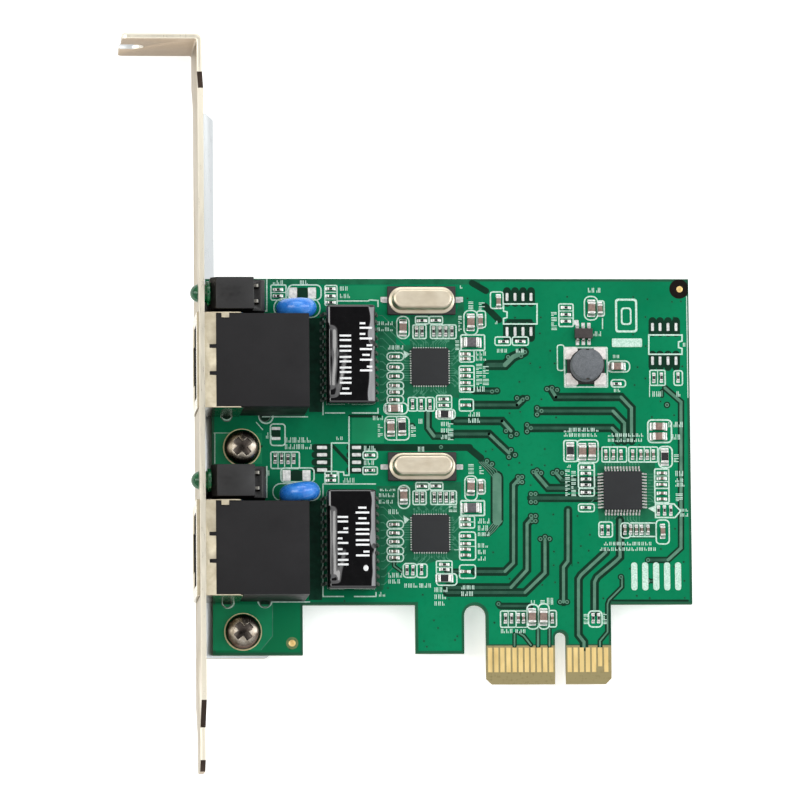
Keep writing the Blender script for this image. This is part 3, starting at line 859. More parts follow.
drum = Mat("ferrite_drum", spec=0.4)
dr_fine = drum.cells(0.10)
drum.colour(drum.mix(drum.span(drum.noise(0.7, 4.0), 0.45, 0.75, 0.0, 0.6), drum.ramp(dr_fine, (0.1, (74, 78, 82)), (0.8, (104, 108, 112))), (66, 70, 74)))
drum.rough(drum.span(drum.noise(0.5), 0.3, 0.7, 0.42, 0.6)).bump(dr_fine, dist=0.02, strength=0.6)
enamel = Mat("copper_enamel", metal=1.0)
enamel.colour(enamel.ramp(enamel.noise(0.5, 3.0), (0.3, (150, 74, 40)), (0.7, (190, 104, 60))))
enamel.rough(enamel.span(enamel.noise(0.3), 0.3, 0.7, 0.2, 0.35)).bump(enamel.noise(0.3), dist=0.01, strength=0.3)
glue = simple("clear_glue", (40, 36, 30), (60, 54, 46), 0.8, (0.15, 0.3), bump=0.03, bsize=0.6)
pale_plate = simple("land_pale", (212, 207, 202), (244, 240, 236), 0.6, (0.34, 0.5), metal=0.85, bump=0.02, bsize=0.3)
dot_brown = simple("laminate_bare_dark", (12, 8, 5), (22, 15, 10), 0.5, (0.6, 0.75), bump=0.01, bsize=0.2, spec=0.1)
halo = simple("laminate_bare_olive", (70, 96, 48), (96, 116, 66), 0.5, (0.5, 0.6), bump=0.01, bsize=0.2)


ink_white = simple("module_ink", (216, 219, 219), (246, 247, 246), 0.2, (0.5, 0.65), bump=0.006, bsize=0.12)
screw_land = simple("screw_land_worn", (196, 184, 140), (224, 212, 170), 0.7, (0.36, 0.52), metal=0.9, bump=0.012, bsize=0.3)
night = simple("mask_in_the_gap", (2, 40, 26), (9, 60, 42), 1.4, (0.32, 0.45), bump=0.01, bsize=0.7, spec=0.12)
# ------------------------------------------------------------------ the board's own face
# heights over the laminate, in mm
H_POUR, H_ZONE, H_GAP, H_TRACK, H_VIA, H_SILK, H_PAD = 0.011, 0.013, 0.021, 0.028, 0.037, 0.040, 0.048
HAIR = 0.0004

xr = max(v.co.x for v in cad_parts["pcb"].data.vertices if v.co.y * 1000 - OY < -9.5) * 1000 - OX     # connector's right edge


RIGHT = hi.x * 1000 - OX


def arc(cx_, cy_, r, a0, a1, n=10):
    return [(cx_ + r * math.cos(math.radians(a0 + (a1 - a0) * i / n)), cy_ + r * math.sin(math.radians(a0 + (a1 - a0) * i / n))) for i in range(n + 1)]


def field(g, foot=0.45):
    """The board's outline drawn in by g, down to the end of the mask."""
    pts = [(RIGHT - g, g), (RIGHT - g, 53.6 - g), (g, 53.6 - g), (g, -8.2 + g), (14.65 - g, -8.2 + g), (14.65 - g, g), (33.1 + g, g), (33.1 + g, -8.0 + g), (41.05 - g, -8.0 + g)]
    pts += arc(42.85, -1.85, 1.8 + g, 180, 0, 14)
    pts += [(44.65 + g, MASK_END + 0.25), (55.9 - g, MASK_END + 0.25)]
    pts += arc(56.81, -5.45, 0.91 + g, 180, 0, 10)
    pts += [(57.72 + g, MASK_END + 0.25), (xr - g, MASK_END + 0.25), (xr - g, g)]
    return pts


# the drilled holes, from the CAD board: (x, y, radius)
def drilled():
    bm = cleaned("pcb")
    topf = {f for f in bm.faces if f.normal.z > 0.95 and abs(f.calc_center_median().z - hi.z) < 1e-5}
    rim = [e for e in bm.edges if len(e.link_faces) == 2 and (e.link_faces[0] in topf) != (e.link_faces[1] in topf)]
    near = {}
    for e in rim:
        for v in e.verts:
            near.setdefault(v, []).append(e)
    seen, out = set(), []
    for v in near:
        if v in seen:
            continue
        todo, got = [v], []
        while todo:
            w = todo.pop()
            if w in seen:
                continue
            seen.add(w)
            got.append(w)
            todo += [e.other_vert(w) for e in near[w]]
        xs = [w.co.x * 1000 - OX for w in got]
        ys = [w.co.y * 1000 - OY for w in got]
        r = (max(xs) - min(xs)) / 2
        if r < 2.0 and abs(r - (max(ys) - min(ys)) / 2) < 0.1:
            out.append(((max(xs) + min(xs)) / 2, (max(ys) + min(ys)) / 2, r))
    bm.free()
    return out


HOLES = drilled()


def hole_free(pts, z0, z1, heap, clear=0.12):
    heap.sheet(pts, [circle(x, y, r + clear, 20) for x, y, r in HOLES], z0, z1)


h_pour, h_pad = Heap(), Heap()
h_zone, h_gap, h_track, h_via, h_hole, h_silk, h_field, h_thin, h_low, h_night = (Heap(HAIR) for _ in range(10))
hole_free(field(0.42), 0.0, H_POUR, h_pour)
for pts in POUR:
    h_field.prism(pts, H_POUR, H_ZONE)
for pts in DARK:
    h_zone.prism(pts, H_POUR, H_ZONE)
for pts in NIGHT:
    h_night.prism(pts, H_POUR, H_ZONE)
for pts, w, g in TR:
    h_gap.strip(pts, w + 2 * g, H_POUR, H_GAP)
    run = []
    for a, b in zip(pts, pts[1:]):                     # runs along the card look duller than those across it
        low = w < 0.8 and abs(b[1] - a[1]) < 0.3 * abs(b[0] - a[0])
        if run and run[-1][0] == low:
            run[-1][1].append(b)
        else:
            run.append((low, [a, b]))
    for low, part in run:
        (h_low if low else h_track).strip(part, w, H_POUR, H_TRACK)
for pts, w in BAND:
    h_gap.strip(pts, w, H_POUR, H_GAP + 0.001)
for x, y in VIA:
    h_gap.disc(x, y, 0.55, H_POUR, H_GAP + 0.0005, 14)
    h_via.annulus(x, y, 0.33, 0.15, H_POUR, H_VIA, 14)
    h_hole.disc(x, y, 0.15, H_POUR, H_GAP + 0.008, 10)

# the many small stitching vias under the mask
placed = []


def clear_of(x, y):
    for a, b in VIA:
        if abs(a - x) < 0.9 and abs(b - y) < 0.9:
            return False
    for pts, w, g in TR:
        for (ax, ay), (bx, by) in zip(pts, pts[1:]):
            l2 = (bx - ax) ** 2 + (by - ay) ** 2
            t = 0 if l2 == 0 else max(0, min(1, ((x - ax) * (bx - ax) + (y - ay) * (by - ay)) / l2))
            if math.hypot(ax + t * (bx - ax) - x, ay + t * (by - ay) - y) < w / 2 + g + 0.35:
                return False
    for x0, y0, x1, y1, r, w in OVAL:
        if x0 - 0.3 < x < x1 + 0.3 and y0 - 0.3 < y < y1 + 0.3:
            return False
    for x0, y0, x1, y1 in BARS:
        if x0 - 0.2 < x < x1 + 0.2 and y0 - 0.2 < y < y1 + 0.2:
            return False
    for pts in DARK:
        xs, ys = [p[0] for p in pts], [p[1] for p in pts]
        if min(xs) < x < max(xs) and min(ys) < y < max(ys):
            return False
    return True


for i in range(27):
    for j in range(20):
        x = 42.5 + 1.95 * (i % 19) + random.uniform(-0.55, 0.55) if i < 19 else 1.2 + 1.7 * (i - 19)
        y = 0.9 + 2.75 * j + random.uniform(-0.6, 0.6) if i < 19 else -7.4 + 0.7 * j
        keep = random.random() < 0.62
        if keep and i < 19 and 0.8 < x < 77.4 and 0.9 < y < 52.6 and clear_of(x, y):
            placed.append((x, y))
SPECKS = [(21.5, 0.61), (28.63, 2.72), (34.44, -5.97), (36.75, -3.84), (39.52, -5.81)]
for x, y in placed + [(12.5, -7.2), (34.9, -6.9), (36.1, -2.6), (39.9, -5.2), (46.0, -3.0), (60.3, -4.6), (34.3, 1.6), (38.6, 0.9)] + SPECKS:
    h_zone.disc(x, y, 0.21, H_POUR, H_ZONE, 12)
    h_gap.disc(x, y, 0.10, H_POUR, H_GAP, 8)

# ---- print: outlines, rings, generic bars where the card carries marks
for pts, w in SILK:
    h_silk.strip([(min(x, RIGHT - 0.3), y) for x, y in pts], w, H_POUR, H_SILK, ends=False)
for x0, y0, x1, y1, r, w in OVAL:
    k = 5 if r > 0.4 else 2
    h_silk.ring(rounded(x0 - w / 2, x1 + w / 2, y0 - w / 2, y1 + w / 2, r + w / 2, k), rounded(x0 + w / 2, x1 - w / 2, y0 + w / 2, y1 - w / 2, max(r - w / 2, 0.04), k), H_POUR, H_SILK)
for pts in FILL:
    h_silk.prism(pts, H_POUR, H_SILK)
for (x, y), r in RING:
    h_silk.annulus(x, y, r + 0.12, r - 0.12, H_POUR, H_SILK, 28)
rnd = random.Random(11)


def ticks(x0, y0, x1, y1, put):
    """Rows of plain short strokes in place of a mark."""
    w, h = x1 - x0, y1 - y0
    up = h > w * 1.25
    across, along = (w, h) if up else (h, w)
    rows = max(1, round(across / 0.92))
    for c in range(rows):
        a, b = across * c / rows + 0.06, across * (c + 1) / rows - 0.06
        t = 0.0
        while t < along - 0.30:
            n = rnd.choice((2, 2, 3))
            for k in range(n):
                s0 = t + k * 0.24
                s1 = min(s0 + 0.13, along)
                lo_, hi_ = (a, b) if rnd.random() < 0.72 else (a, a + (b - a) * 0.45)
                if s1 - s0 > 0.05:
                    put(x0 + lo_, x0 + hi_, y0 + s0, y0 + s1) if up else put(x0 + s0, x0 + s1, y0 + lo_, y0 + hi_)
            t += n * 0.24 + 0.14


for x0, y0, x1, y1 in BARS:
    ticks(x0, y0, min(x1, RIGHT - 0.25), y1, lambda a, b, c, d: h_silk.prism([(a, c), (b, c), (b, d), (a, d)], H_POUR, H_SILK))
# the broad plain bar, and plain shapes in the places of the marks
xa, ya, xb, yb = BROAD
h_silk.block(xa, xb, ya, yb, H_POUR, H_SILK + 0.007, r=0.12, e=0.002)

for x0, y0, x1, y1, w in ((66.40, 44.75, 70.05, 50.35, 0.34), (67.35, 46.0, 69.1, 48.9, 0.26)):
    h_silk.ring(rounded(x0, x1, y0, y1, 0.5, 4), rounded(x0 + w, x1 - w, y0 + w, y1 - w, 0.5 - w / 2, 4), H_POUR, H_SILK)
for k in range(5):
    h_silk.block(68.55 + 1.80 * k, 69.55 + 1.80 * k, 2.25, 6.85, H_POUR, H_SILK + 0.007, r=0.45, e=0.002, n=4)

for x0, y0, x1, y1 in PADS:
    h_pad.block(x0, x1, y0, y1, 0.0, H_PAD, r=0.08, e=0.02)

make("board_pour", h_pour, pour)
make("board_fields", h_field, plate_green)
make("board_dense_fields", h_zone, zone)
make("board_shaded_fields", h_night, night)
make("board_gaps", h_gap, gap)

# thin tracks between the modules, the transceivers and their small parts
for k in (1, 2):
    (px0, py0, pz0), (px1, py1, pz1) = card_box("transceiver_chip_%d" % k)
    (mx0, my0, mz0), (mx1, my1, mz1) = card_box("magnetics_%d_pins" % k)
    pcx, pcy, mcy = (px0 + px1) / 2, (py0 + py1) / 2, (my0 + my1) / 2
    for i in range(12):
        ya_, yb_ = mcy + (i - 5.5) * 1.27, pcy + (i - 5.5) * 0.40
        dy = yb_ - ya_
        xs_ = mx1 + 0.35
        xd = min(px0 - 0.9, xs_ + 0.5 + abs(dy))
        run = xd - xs_ - 0.5
        yd = ya_ + math.copysign(min(abs(dy), run), dy)
        h_thin.strip([(xs_, ya_), (xs_ + 0.5, ya_), (xd, yd)] + ([(px0 - 0.30, yb_)] if abs(yd - yb_) < 0.05 and px0 - 0.30 > xd + 0.1 else []), 0.14, H_POUR, H_ZONE + 0.004, ends=False)
    for side in range(3):
        for i in range(14):
            t = (i - 6.5) * 0.40
            j = random.Random(k * 100 + side * 20 + i)
            reach, bend = j.uniform(0.5, 1.1), j.choice((0.0, 0.5, 0.9)) * (1 if t > 0 else -1)
            if side == 0:
                pts = [(px1 + 0.25, pcy + t), (px1 + reach, pcy + t), (px1 + reach + abs(bend), pcy + t + bend)]
            else:
                s = 1 if side == 1 else -1
                ye = py1 if side == 1 else py0
                pts = [(pcx + t, ye + s * 0.25), (pcx + t, ye + s * reach), (pcx + t + bend, ye + s * (reach + abs(bend)))]
            h_thin.strip(pts, 0.13, H_POUR, H_ZONE + 0.004, ends=False)
            h_thin.disc(pts[-1][0], pts[-1][1], 0.20, H_POUR, H_ZONE + 0.005, 12)
(px0, py0, pz0), (px1, py1, pz1) = card_box("controller_leads")
for i in range(12):
    t = (i - 5.5) * 0.5
    pcx, pcy = (px0 + px1) / 2, (py0 + py1) / 2
    j = random.Random(900 + i)
    for sx, sy in ((-1, 0), (1, 0), (0, -1), (0, 1)):
        reach, bend = j.uniform(0.5, 1.3), j.choice((0.0, 0.6, 1.0)) * (1 if t > 0 else -1)
        if sx:
            x_ = px1 if sx > 0 else px0
            pts = [(x_ + sx * 0.2, pcy + t), (x_ + sx * reach, pcy + t), (x_ + sx * (reach + abs(bend)), pcy + t + bend)]
        else:
            y_ = py1 if sy > 0 else py0
            pts = [(pcx + t, y_ + sy * 0.2), (pcx + t, y_ + sy * reach), (pcx + t + bend, y_ + sy * (reach + abs(bend)))]
        h_thin.strip(pts, 0.14, H_POUR, H_ZONE + 0.004, ends=False)
h_thin.strip([(9.75, 0.14), (9.71, -5.09), (7.81, -7.37)], 0.14, H_POUR, H_ZONE + 0.004, ends=False)
make("board_thin_tracks", h_thin, thin)
make("board_tracks", h_track, track)
make("board_tracks_along", h_low, track_low)
make("board_vias", h_via, track)
make("board_via_holes", h_hole, gap)
make("board_print", h_silk, silk)
make("board_bare_lands", h_pad, tin, smooth=40)
dress("pcb", board)

# ---- the two bare copper dots
h1, h2, h3 = Heap(), Heap(), Heap()
h1.disc(12.9, -6.27, 1.0, H_POUR, H_SILK, 32)
h2.turned([(0.55, 0.0), (0.55, 0.045), (0.48, 0.06), (0.05, 0.062)], 28)
h2.v = [(x + 12.9, y - 6.27, z) for x, y, z in h2.v]
n0 = len(h2.v)
h2.turned([(0.52, 0.0), (0.52, 0.045), (0.45, 0.06), (0.05, 0.062)], 28)
h2.v = h2.v[:n0] + [(x + 77.09, y + 51.91, z) for x, y, z in h2.v[n0:]]
cut = [p for p in circle(77.0, 51.95, 1.6, 40)]
h3.prism([(min(x, RIGHT - 0.1), min(y, 53.5)) for x, y in cut], H_POUR, H_SILK)
make("dot_halo", h1, halo)
make("dot_gold", h2, gold_ring, smooth=40)
make("dot_corner_field", h3, dot_brown)

# ------------------------------------------------------------------ the back of the board
b_pour, b_ring, b_low, b_screw = Heap(), Heap(), Heap(), Heap()
b_gap, b_track, b_via, b_hole, b_silk = (Heap(HAIR) for _ in range(5))
LEADS = [(x, y) for x, y, r in HOLES if r < 0.6]
LEGS = [(x, y, r) for x, y, r in HOLES if 0.6 < r < 1.0]
SCREWS = [(x, y) for x, y, r in HOLES if r > 1.2 and (abs(y + 4.4) < 0.3 or abs(y - 25.8) < 0.3)]
PEGS = [(x, y) for x, y, r in HOLES if r > 1.2 and (x, y) not in SCREWS]
hole_free(field(0.42), BACK - H_POUR, BACK, b_pour)
BTR = [
    ([(15.2, 44.0), (20.0, 44.0), (23.5, 40.5), (29.5, 40.5)], 0.45), ([(15.2, 42.6), (19.4, 42.6), (22.9, 39.1), (29.5, 39.1)], 0.45),
    ([(15.2, 36.4), (19.0, 36.4), (21.4, 34.0), (29.0, 34.0)], 0.45), ([(15.2, 35.0), (18.4, 35.0), (20.8, 32.6), (29.0, 32.6)], 0.45),
    ([(15.0, 13.6), (20.0, 13.6), (23.4, 10.2), (29.4, 10.2)], 0.45), ([(15.0, 12.2), (19.4, 12.2), (22.8, 8.8), (29.4, 8.8)], 0.45),
    ([(15.0, 6.0), (19.0, 6.0), (21.4, 3.6), (29.0, 3.6)], 0.45), ([(15.0, 4.6), (18.4, 4.6), (20.6, 2.4), (29.0, 2.4)], 0.45),
    ([(44.6, 30.5), (50.1, 25.0), (50.1, 13.0), (46.0, 8.9), (40.0, 8.9)], 0.55), ([(46.2, 31.4), (51.6, 26.0), (51.6, 12.0), (46.8, 7.2), (40.0, 7.2)], 0.55),
    ([(55.7, 35.4), (58.5, 38.2), (67.0, 38.2), (71.5, 33.7), (71.5, 21.0)], 0.55), ([(53.5, 31.2), (57.6, 31.2), (61.0, 34.6), (66.4, 34.6), (69.4, 31.6), (69.4, 22.0)], 0.55),
    ([(53.6, 24.9), (56.4, 24.9), (59.0, 22.3), (59.0, 15.5)], 0.5), ([(55.9, 14.2), (58.0, 12.1), (66.0, 12.1)], 0.5),
    ([(57.4, 0.6), (57.4, -3.0), (59.2, -4.8), (59.2, -6.3)], 0.6), ([(54.5, 10.6), (54.5, 2.8), (51.2, -0.5), (51.2, -6.3)], 0.5),
    ([(49.3, 0.6), (49.3, -3.0), (50.2, -3.9), (50.2, -6.3)], 0.5), ([(67.4, 4.4), (64.2, 1.2), (63.2, 0.2), (63.2, -6.3)], 0.5),
    ([(71.4, 7.4), (75.6, 11.6), (75.6, 40.0), (70.0, 45.6), (60.0, 45.6)], 0.8), ([(36.0, 50.5), (46.0, 50.5), (52.0, 44.5), (56.0, 44.5)], 0.8),
    ([(35.9, 38.9), (35.9, 30.0), (38.9, 27.0), (44.0, 27.0)], 0.5), ([(35.7, 11.5), (35.7, 6.0), (33.0, 3.3)], 0.5),
    ([(2.5, 24.0), (9.0, 24.0), (12.0, 27.0), (26.0, 27.0), (29.0, 24.0), (42.0, 24.0)], 1.6),
]
for pts, w in BTR:
    b_gap.strip(pts, w + 0.62, BACK - H_GAP, BACK)
    b_track.strip(pts, w, BACK - H_TRACK, BACK)
ends_b = [p for pts, w in BTR for p in (pts[0], pts[-1]) if p[1] > -6]
for x, y in list(VIA) + ends_b:
    if any(math.hypot(x - a, y - b) < r + 0.7 for a, b, r in HOLES):
        continue
    b_gap.disc(x, y, 0.52, BACK - H_GAP - 0.0005, BACK, 14)
    b_via.annulus(x, y, 0.34, 0.15, BACK - H_VIA, BACK, 14)
    b_hole.disc(x, y, 0.15, BACK - H_GAP - 0.008, BACK, 10)
for x, y in placed:
    if not any(math.hypot(x - a, y - b) < r + 0.7 for a, b, r in HOLES):
        b_gap.disc(x, y, 0.2, BACK - H_GAP, BACK, 10)
for x, y, r in HOLES:                                   # rings of bare tinned copper round each hole, with a clearance in the pour
    if (x, y) in PEGS:
        b_gap.annulus(x, y, r + 0.30, r + 0.001, BACK - H_GAP - 0.001, BACK, 32)
        continue
    land = 0.42 if r < 0.6 else 0.62 if r < 1.0 else 1.55
    b_gap.annulus(x, y, r + land + 0.22, r + 0.01, BACK - H_GAP - 0.001, BACK, 32)
    b_ring.annulus(x, y, r + land, r + 0.001, BACK - H_PAD, BACK, 32)
    (b_low if r < 1.2 else b_screw).annulus(x, y, r + (0.15 if r < 1.2 else 1.5), r + 0.001, 0.0, H_PAD, 32)
for x, y in SCREWS:
    for k in range(8):
        a = math.radians(22.5 + 45 * k)
        b_ring.disc(x + 2.35 * math.cos(a), y + 2.35 * math.sin(a), 0.22, BACK - H_PAD - 0.02, BACK, 10)

# solder cones at the leads, each a little different
h_cone = Heap()
seats = [(x, y, 0.80, 1.05) for x, y in LEADS]
seats += [(x, y, 1.30, 1.0) for x, y, r in LEGS if x < 5]
for k, (x, y, r, h) in enumerate(seats):
    j = random.Random(k)
    h = h * j.uniform(0.85, 1.05)
    top_r = 0.26 if r < 1 else 0.42
    prof = []
    for i in range(9):
        t = i / 8
        prof.append((top_r + (r - top_r) * (1 - t) ** 2.4, h * t))
    prof.append((top_r * 0.55, h + 0.05))
    h_cone.turned([(a, -b) for a, b in prof], 24, flip=True)
    n = 24 * len(prof)
    tail = h_cone.v[-n:]
    h_cone.v = h_cone.v[:-n] + [(px_ + x + 0.05 * j.uniform(-1, 1) * -pz, py_ + y + 0.05 * j.uniform(-1, 1) * -pz, pz + BACK - 0.02) for px_, py_, pz in tail]
make("joints_back", h_cone, tin, smooth=60)

# print on the back: outlines round the joints and plain bars
for jy in (38.65, 8.15):
    b_silk.strip([(0.9, jy - 7.1), (0.9, jy + 7.1), (15.6, jy + 7.1), (15.6, jy - 7.1), (0.9, jy - 7.1)], 0.2, BACK - H_SILK, BACK)
b_silk.ring(rounded(60.0, 74.0, 2.6, 7.0, 0.5, 4), rounded(60.3, 73.7, 2.9, 6.7, 0.3, 4), BACK - H_SILK, BACK)
for k in range(7):
    b_silk.prism([(61.2 + 1.7 * k, 3.6), (62.3 + 1.7 * k, 3.6), (62.3 + 1.7 * k, 6.0), (61.2 + 1.7 * k, 6.0)], BACK - H_SILK, BACK)
for x, y, n in ((30.0, 50.6, 5), (48.0, 47.0, 3), (64.0, 49.0, 6), (20.0, 25.0, 4), (31.5, 18.0, 3), (45.0, 18.5, 3), (58.0, 9.0, 4), (71.0, 15.0, 2), (35.0, -3.0, 3)):
    for k in range(n):
        b_silk.prism([(x + 0.62 * k, y), (x + 0.62 * k + 0.44, y), (x + 0.62 * k + 0.44, y + 0.85), (x + 0.62 * k, y + 0.85)], BACK - H_SILK, BACK)
make("back_pour", b_pour, pour)
make("back_gaps", b_gap, gap)
make("back_tracks", b_track, track)
make("back_vias", b_via, track)
make("back_via_holes", b_hole, gap)
make("back_print", b_silk, silk)
make("hole_lands", b_ring, tin, smooth=40)
# flux and shadow sitting in the shell-leg holes, so the pale floor does not shine up through them
h_plug = Heap()
for x, y, r in LEGS:
    h_plug.disc(x, y, r - 0.004, -0.50, -0.12, 20)
make("leg_hole_residue", h_plug, gap)
make("hole_lands_top", b_low, pin_dark, smooth=40)
make("screw_lands", b_screw, screw_land, smooth=40)

# ------------------------------------------------------------------ metalwork
soften("bracket", "bracket_sheet", 0.14, steel, segments=2, angle=35)
for k in (1, 2):
    soften("jack_%d_housing" % k, "socket_%d_housing" % k, 0.16, socket, segments=2, angle=40)
    soften("jack_%d_shield" % k, "socket_%d_shell" % k, 0.05, shell_tin, segments=1, angle=40)
    soften("jack_%d_insert" % k, "socket_%d_insert" % k, 0.06, insert, segments=1, angle=40)
    dress("jack_%d_contacts" % k, gold)
    soften("led_%d_holder" % k, "lamp_%d_holder" % k, 0.10, holder, segments=2, angle=35)
    soften("led_%d_lens" % k, "lamp_%d_body" % k, 0.05, lamp, segments=2, angle=50, smooth=50)
    dress("magnetics_%d_pins" % k, pin_dark)
    soften("crystal_%d_can" % k, "crystal_%d_cover" % k, 0.04, can, segments=1, angle=60, smooth=60)
dress("led_leads", leg_wire)
dress("disc_capacitor_leads", wire)
dress("edge_contacts", gold)
dress("controller_leads", tin_dull)
dress("regulator_leads", tin_dull)
dress("crystal_leads", tin_dull)
dress("inductor_terminals", pale_plate)
dress("inductor_winding", enamel)
soften("bracket_screws", "bracket_screw_pair", 0.07, nickel, segments=2, angle=40, smooth=50)
soften("crystal_bases", "crystal_seats", 0.12, seat, segments=2)
soften("inductor_base", "inductor_seat", 0.08, seat, segments=1)
soften("inductor_core", "inductor_drum", 0.10, drum, segments=2, angle=50, smooth=50)
for k in (1, 2):
    soften("disc_capacitor_%d" % k, "disc_%d_lacquer" % k, 0.03, blue, segments=1, angle=60, smooth=70)

# threads on the screw shafts, one fine ridge each
h = Heap()
for x, y in SCREWS:
    turns, steps = 3.6, 20
    verts, faces = [], []
    n = int(turns * steps)
    for i in range(n + 1):
        a = 2 * math.pi * i / steps
        z = -4.45 + 0.5 * i / steps
        fade = min(1.0, i / 6, (n - i) / 6)
        for rr_, dz in ((1.42, -0.20), (1.42 + 0.16 * fade, 0.0), (1.42, 0.20)):
            verts.append((x + rr_ * math.cos(a), y + rr_ * math.sin(a), z + dz))
    for i in range(n):
        for j in range(2):
            a = i * 3 + j
            faces.append((a, a + 1, a + 4, a + 3))
        faces.append((i * 3 + 2, i * 3, i * 3 + 3, i * 3 + 5))
    faces.append((0, 2, 1))
    faces.append((n * 3, n * 3 + 1, n * 3 + 2))
    h.add(verts, faces)
make("bracket_screw_threads", h, nickel, smooth=40)

# ------------------------------------------------------------------ magnetics modules: gloss potted blocks with a sagging, wavy face
def ease(t):
    t = max(0.0, min(1.0, t))
    return t * t * (3 - 2 * t)


def potted(name, node, seed, ridge, left_span, right_dip):
    (x0, y0, z0), (x1, y1, z1) = card_box(node)
    cx_, cy_ = (x0 + x1) / 2, (y0 + y1) / 2
    hx, hy = (x1 - x0) / 2, (y1 - y0) / 2
    NU, NV = 56, 96

    def skin(x, y):
        """Height of the potting at x, y from the module's middle."""
        v = y + hy                                              # millimetres from the lower end
        wave = mnoise.noise(Vector((seed * 5.1, v * 0.22, 1.7)))
        wave2 = mnoise.noise(Vector((seed * 3.3 + 9.0, v * 0.30, 6.1)))
        dl = x + hx + 0.35 * wave
        dr = hx - x + 0.55 * wave2
        lit = ease((v - left_span[0]) / 0.9) * ease((left_span[1] - v) / 0.9)
        drop = lit * 0.17 * ease((1.75 - dl) / 1.35) + 0.34 * max(0.0, 1 - (x + hx) / 0.62) ** 2.2
        dip = 1.0 - 0.8 * math.exp(-((v - right_dip) / 0.7) ** 2)
        drop += dip * 0.26 * ease((1.25 - dr) / 1.25) ** 1.2 + 0.25 * max(0.0, 1 - (hx - x) / 0.50) ** 2.2
        dy = hy - abs(y)
        drop += 0.36 * max(0.0, 1 - dy / 0.50) ** 2.2
        # the sag left where the resin met itself
        if ridge:
            (ax, av), (bx, bv) = ridge
            t = (v - av) / (bv - av)
            line = ax + (bx - ax) * t + 0.25 * wave
            drop += 0.13 * ease((v - min(av, bv)) / 0.6) * ease((max(av, bv) + 0.8 - v) / 2.2) * ease((line + 0.55 - x) / 1.1)
        wob = 0.018 * mnoise.noise(Vector((x * 0.5 + seed, y * 0.4, seed * 3)))
        return z1 - 0.045 - min(drop, 0.95) + wob

    us = [math.sin(t * math.pi / 2) * 0.35 + t * 0.65 for t in (-1 + 2 * i / NU for i in range(NU + 1))]
    vs = [math.sin(t * math.pi / 2) * 0.35 + t * 0.65 for t in (-1 + 2 * i / NV for i in range(NV + 1))]
    verts, faces = [], []
    for v in vs:
        for u in us:
            x, y = u * (hx - 0.12), v * (hy - 0.14)
            cxr, cyr = max(0, abs(x) - (hx - 0.55)), max(0, abs(y) - (hy - 0.55))
            if cxr > 0 and cyr > 0:                             # corners a little round
                s = max(cxr, cyr) / math.hypot(cxr, cyr)
                x = math.copysign(hx - 0.55 + cxr * s, x)
                y = math.copysign(hy - 0.55 + cyr * s, y)
            verts.append((cx_ + x, cy_ + y, skin(x, y)))
    W = NU + 1
    for j in range(NV):
        for i in range(NU):
            a = j * W + i
            faces.append((a, a + 1, a + W + 1, a + W))
    loop = list(range(0, NU)) + [NU + j * W for j in range(0, NV)] + [NV * W + i for i in range(NU, 0, -1)] + [j * W for j in range(NV, 0, -1)]
    last = loop
    for grow, zz in ((0.06, 5.12), (0.10, 4.6), (0.115, 3.6), (0.119, 2.46), (0.119, 2.34), (0.05, 1.3), (-0.10, 0.34)):
        new = []
        for a in loop:
            x, y, z = verts[a]
            nx = (x - cx_) * (1 + grow / (hx - 0.12))
            ny = (y - cy_) * (1 + grow / (hy - 0.14))
            new.append(len(verts))
            verts.append((cx_ + nx, cy_ + ny, min(zz, z - 0.02)))
        n = len(loop)
        for i in range(n):
            faces.append((last[i], last[(i + 1) % n], new[(i + 1) % n], new[i])[::-1])
        last = new
    faces.append(tuple(reversed(last)))
    h = Heap()
    h.add(verts, faces)
    make(name, h, epoxy, (node,), smooth=48)

    def ink(x0_, x1_, y0_, y1_):
        """A patch of white ink lying on the potting."""
        nx_, ny_ = max(1, round((x1_ - x0_) / 0.25)), max(1, round((y1_ - y0_) / 0.25))
        vv, ff = [], []
        for top_ in (1, 0):
            for q in range(ny_ + 1):
                for r_ in range(nx_ + 1):
                    x, y = x0_ + (x1_ - x0_) * r_ / nx_, y0_ + (y1_ - y0_) * q / ny_
                    vv.append((x, y, skin(x - cx_, y - cy_) + (0.014 if top_ else -0.03)))
        w_, half = nx_ + 1, (nx_ + 1) * (ny_ + 1)
        for q in range(ny_):
            for r_ in range(nx_):
                a = q * w_ + r_
                ff += [(a, a + 1, a + w_ + 1, a + w_), (half + a, half + a + w_, half + a + w_ + 1, half + a + 1)]
        edge_ = list(range(w_)) + [w_ * q + nx_ for q in range(1, ny_ + 1)] + [ny_ * w_ + r_ for r_ in range(nx_ - 1, -1, -1)] + [q * w_ for q in range(ny_ - 1, 0, -1)]
        for i in range(len(edge_)):
            a, b = edge_[i], edge_[(i + 1) % len(edge_)]
            ff.append((a, a + half, b + half, b))
        print_on_modules.add(vv, ff)
    return ink


def bars(x0, y0, x1, y1, put, pitch=1.75):
    """Plain bars of ink in place of a line of print."""
    w = x1 - x0
    for k in range(int((y1 - y0 + 0.2) / pitch)):
        t, kind = y0 + k * pitch, rnd.choice((0, 0, 1, 2, 3))
        put(x0, x1, t + 0.10, t + 0.42)
        if kind == 0:
            put(x0, x1, t + 0.84, t + 1.16)
        elif kind == 1:
            put(x0, x0 + 0.45 * w, t + 0.84, t + 1.16)
        elif kind == 2:
            put(x0 + 0.55 * w, x1, t + 0.72, t + 1.04)
        else:
            put(x0 + 0.2 * w, x1 - 0.2 * w, t + 0.9, t + 1.22)


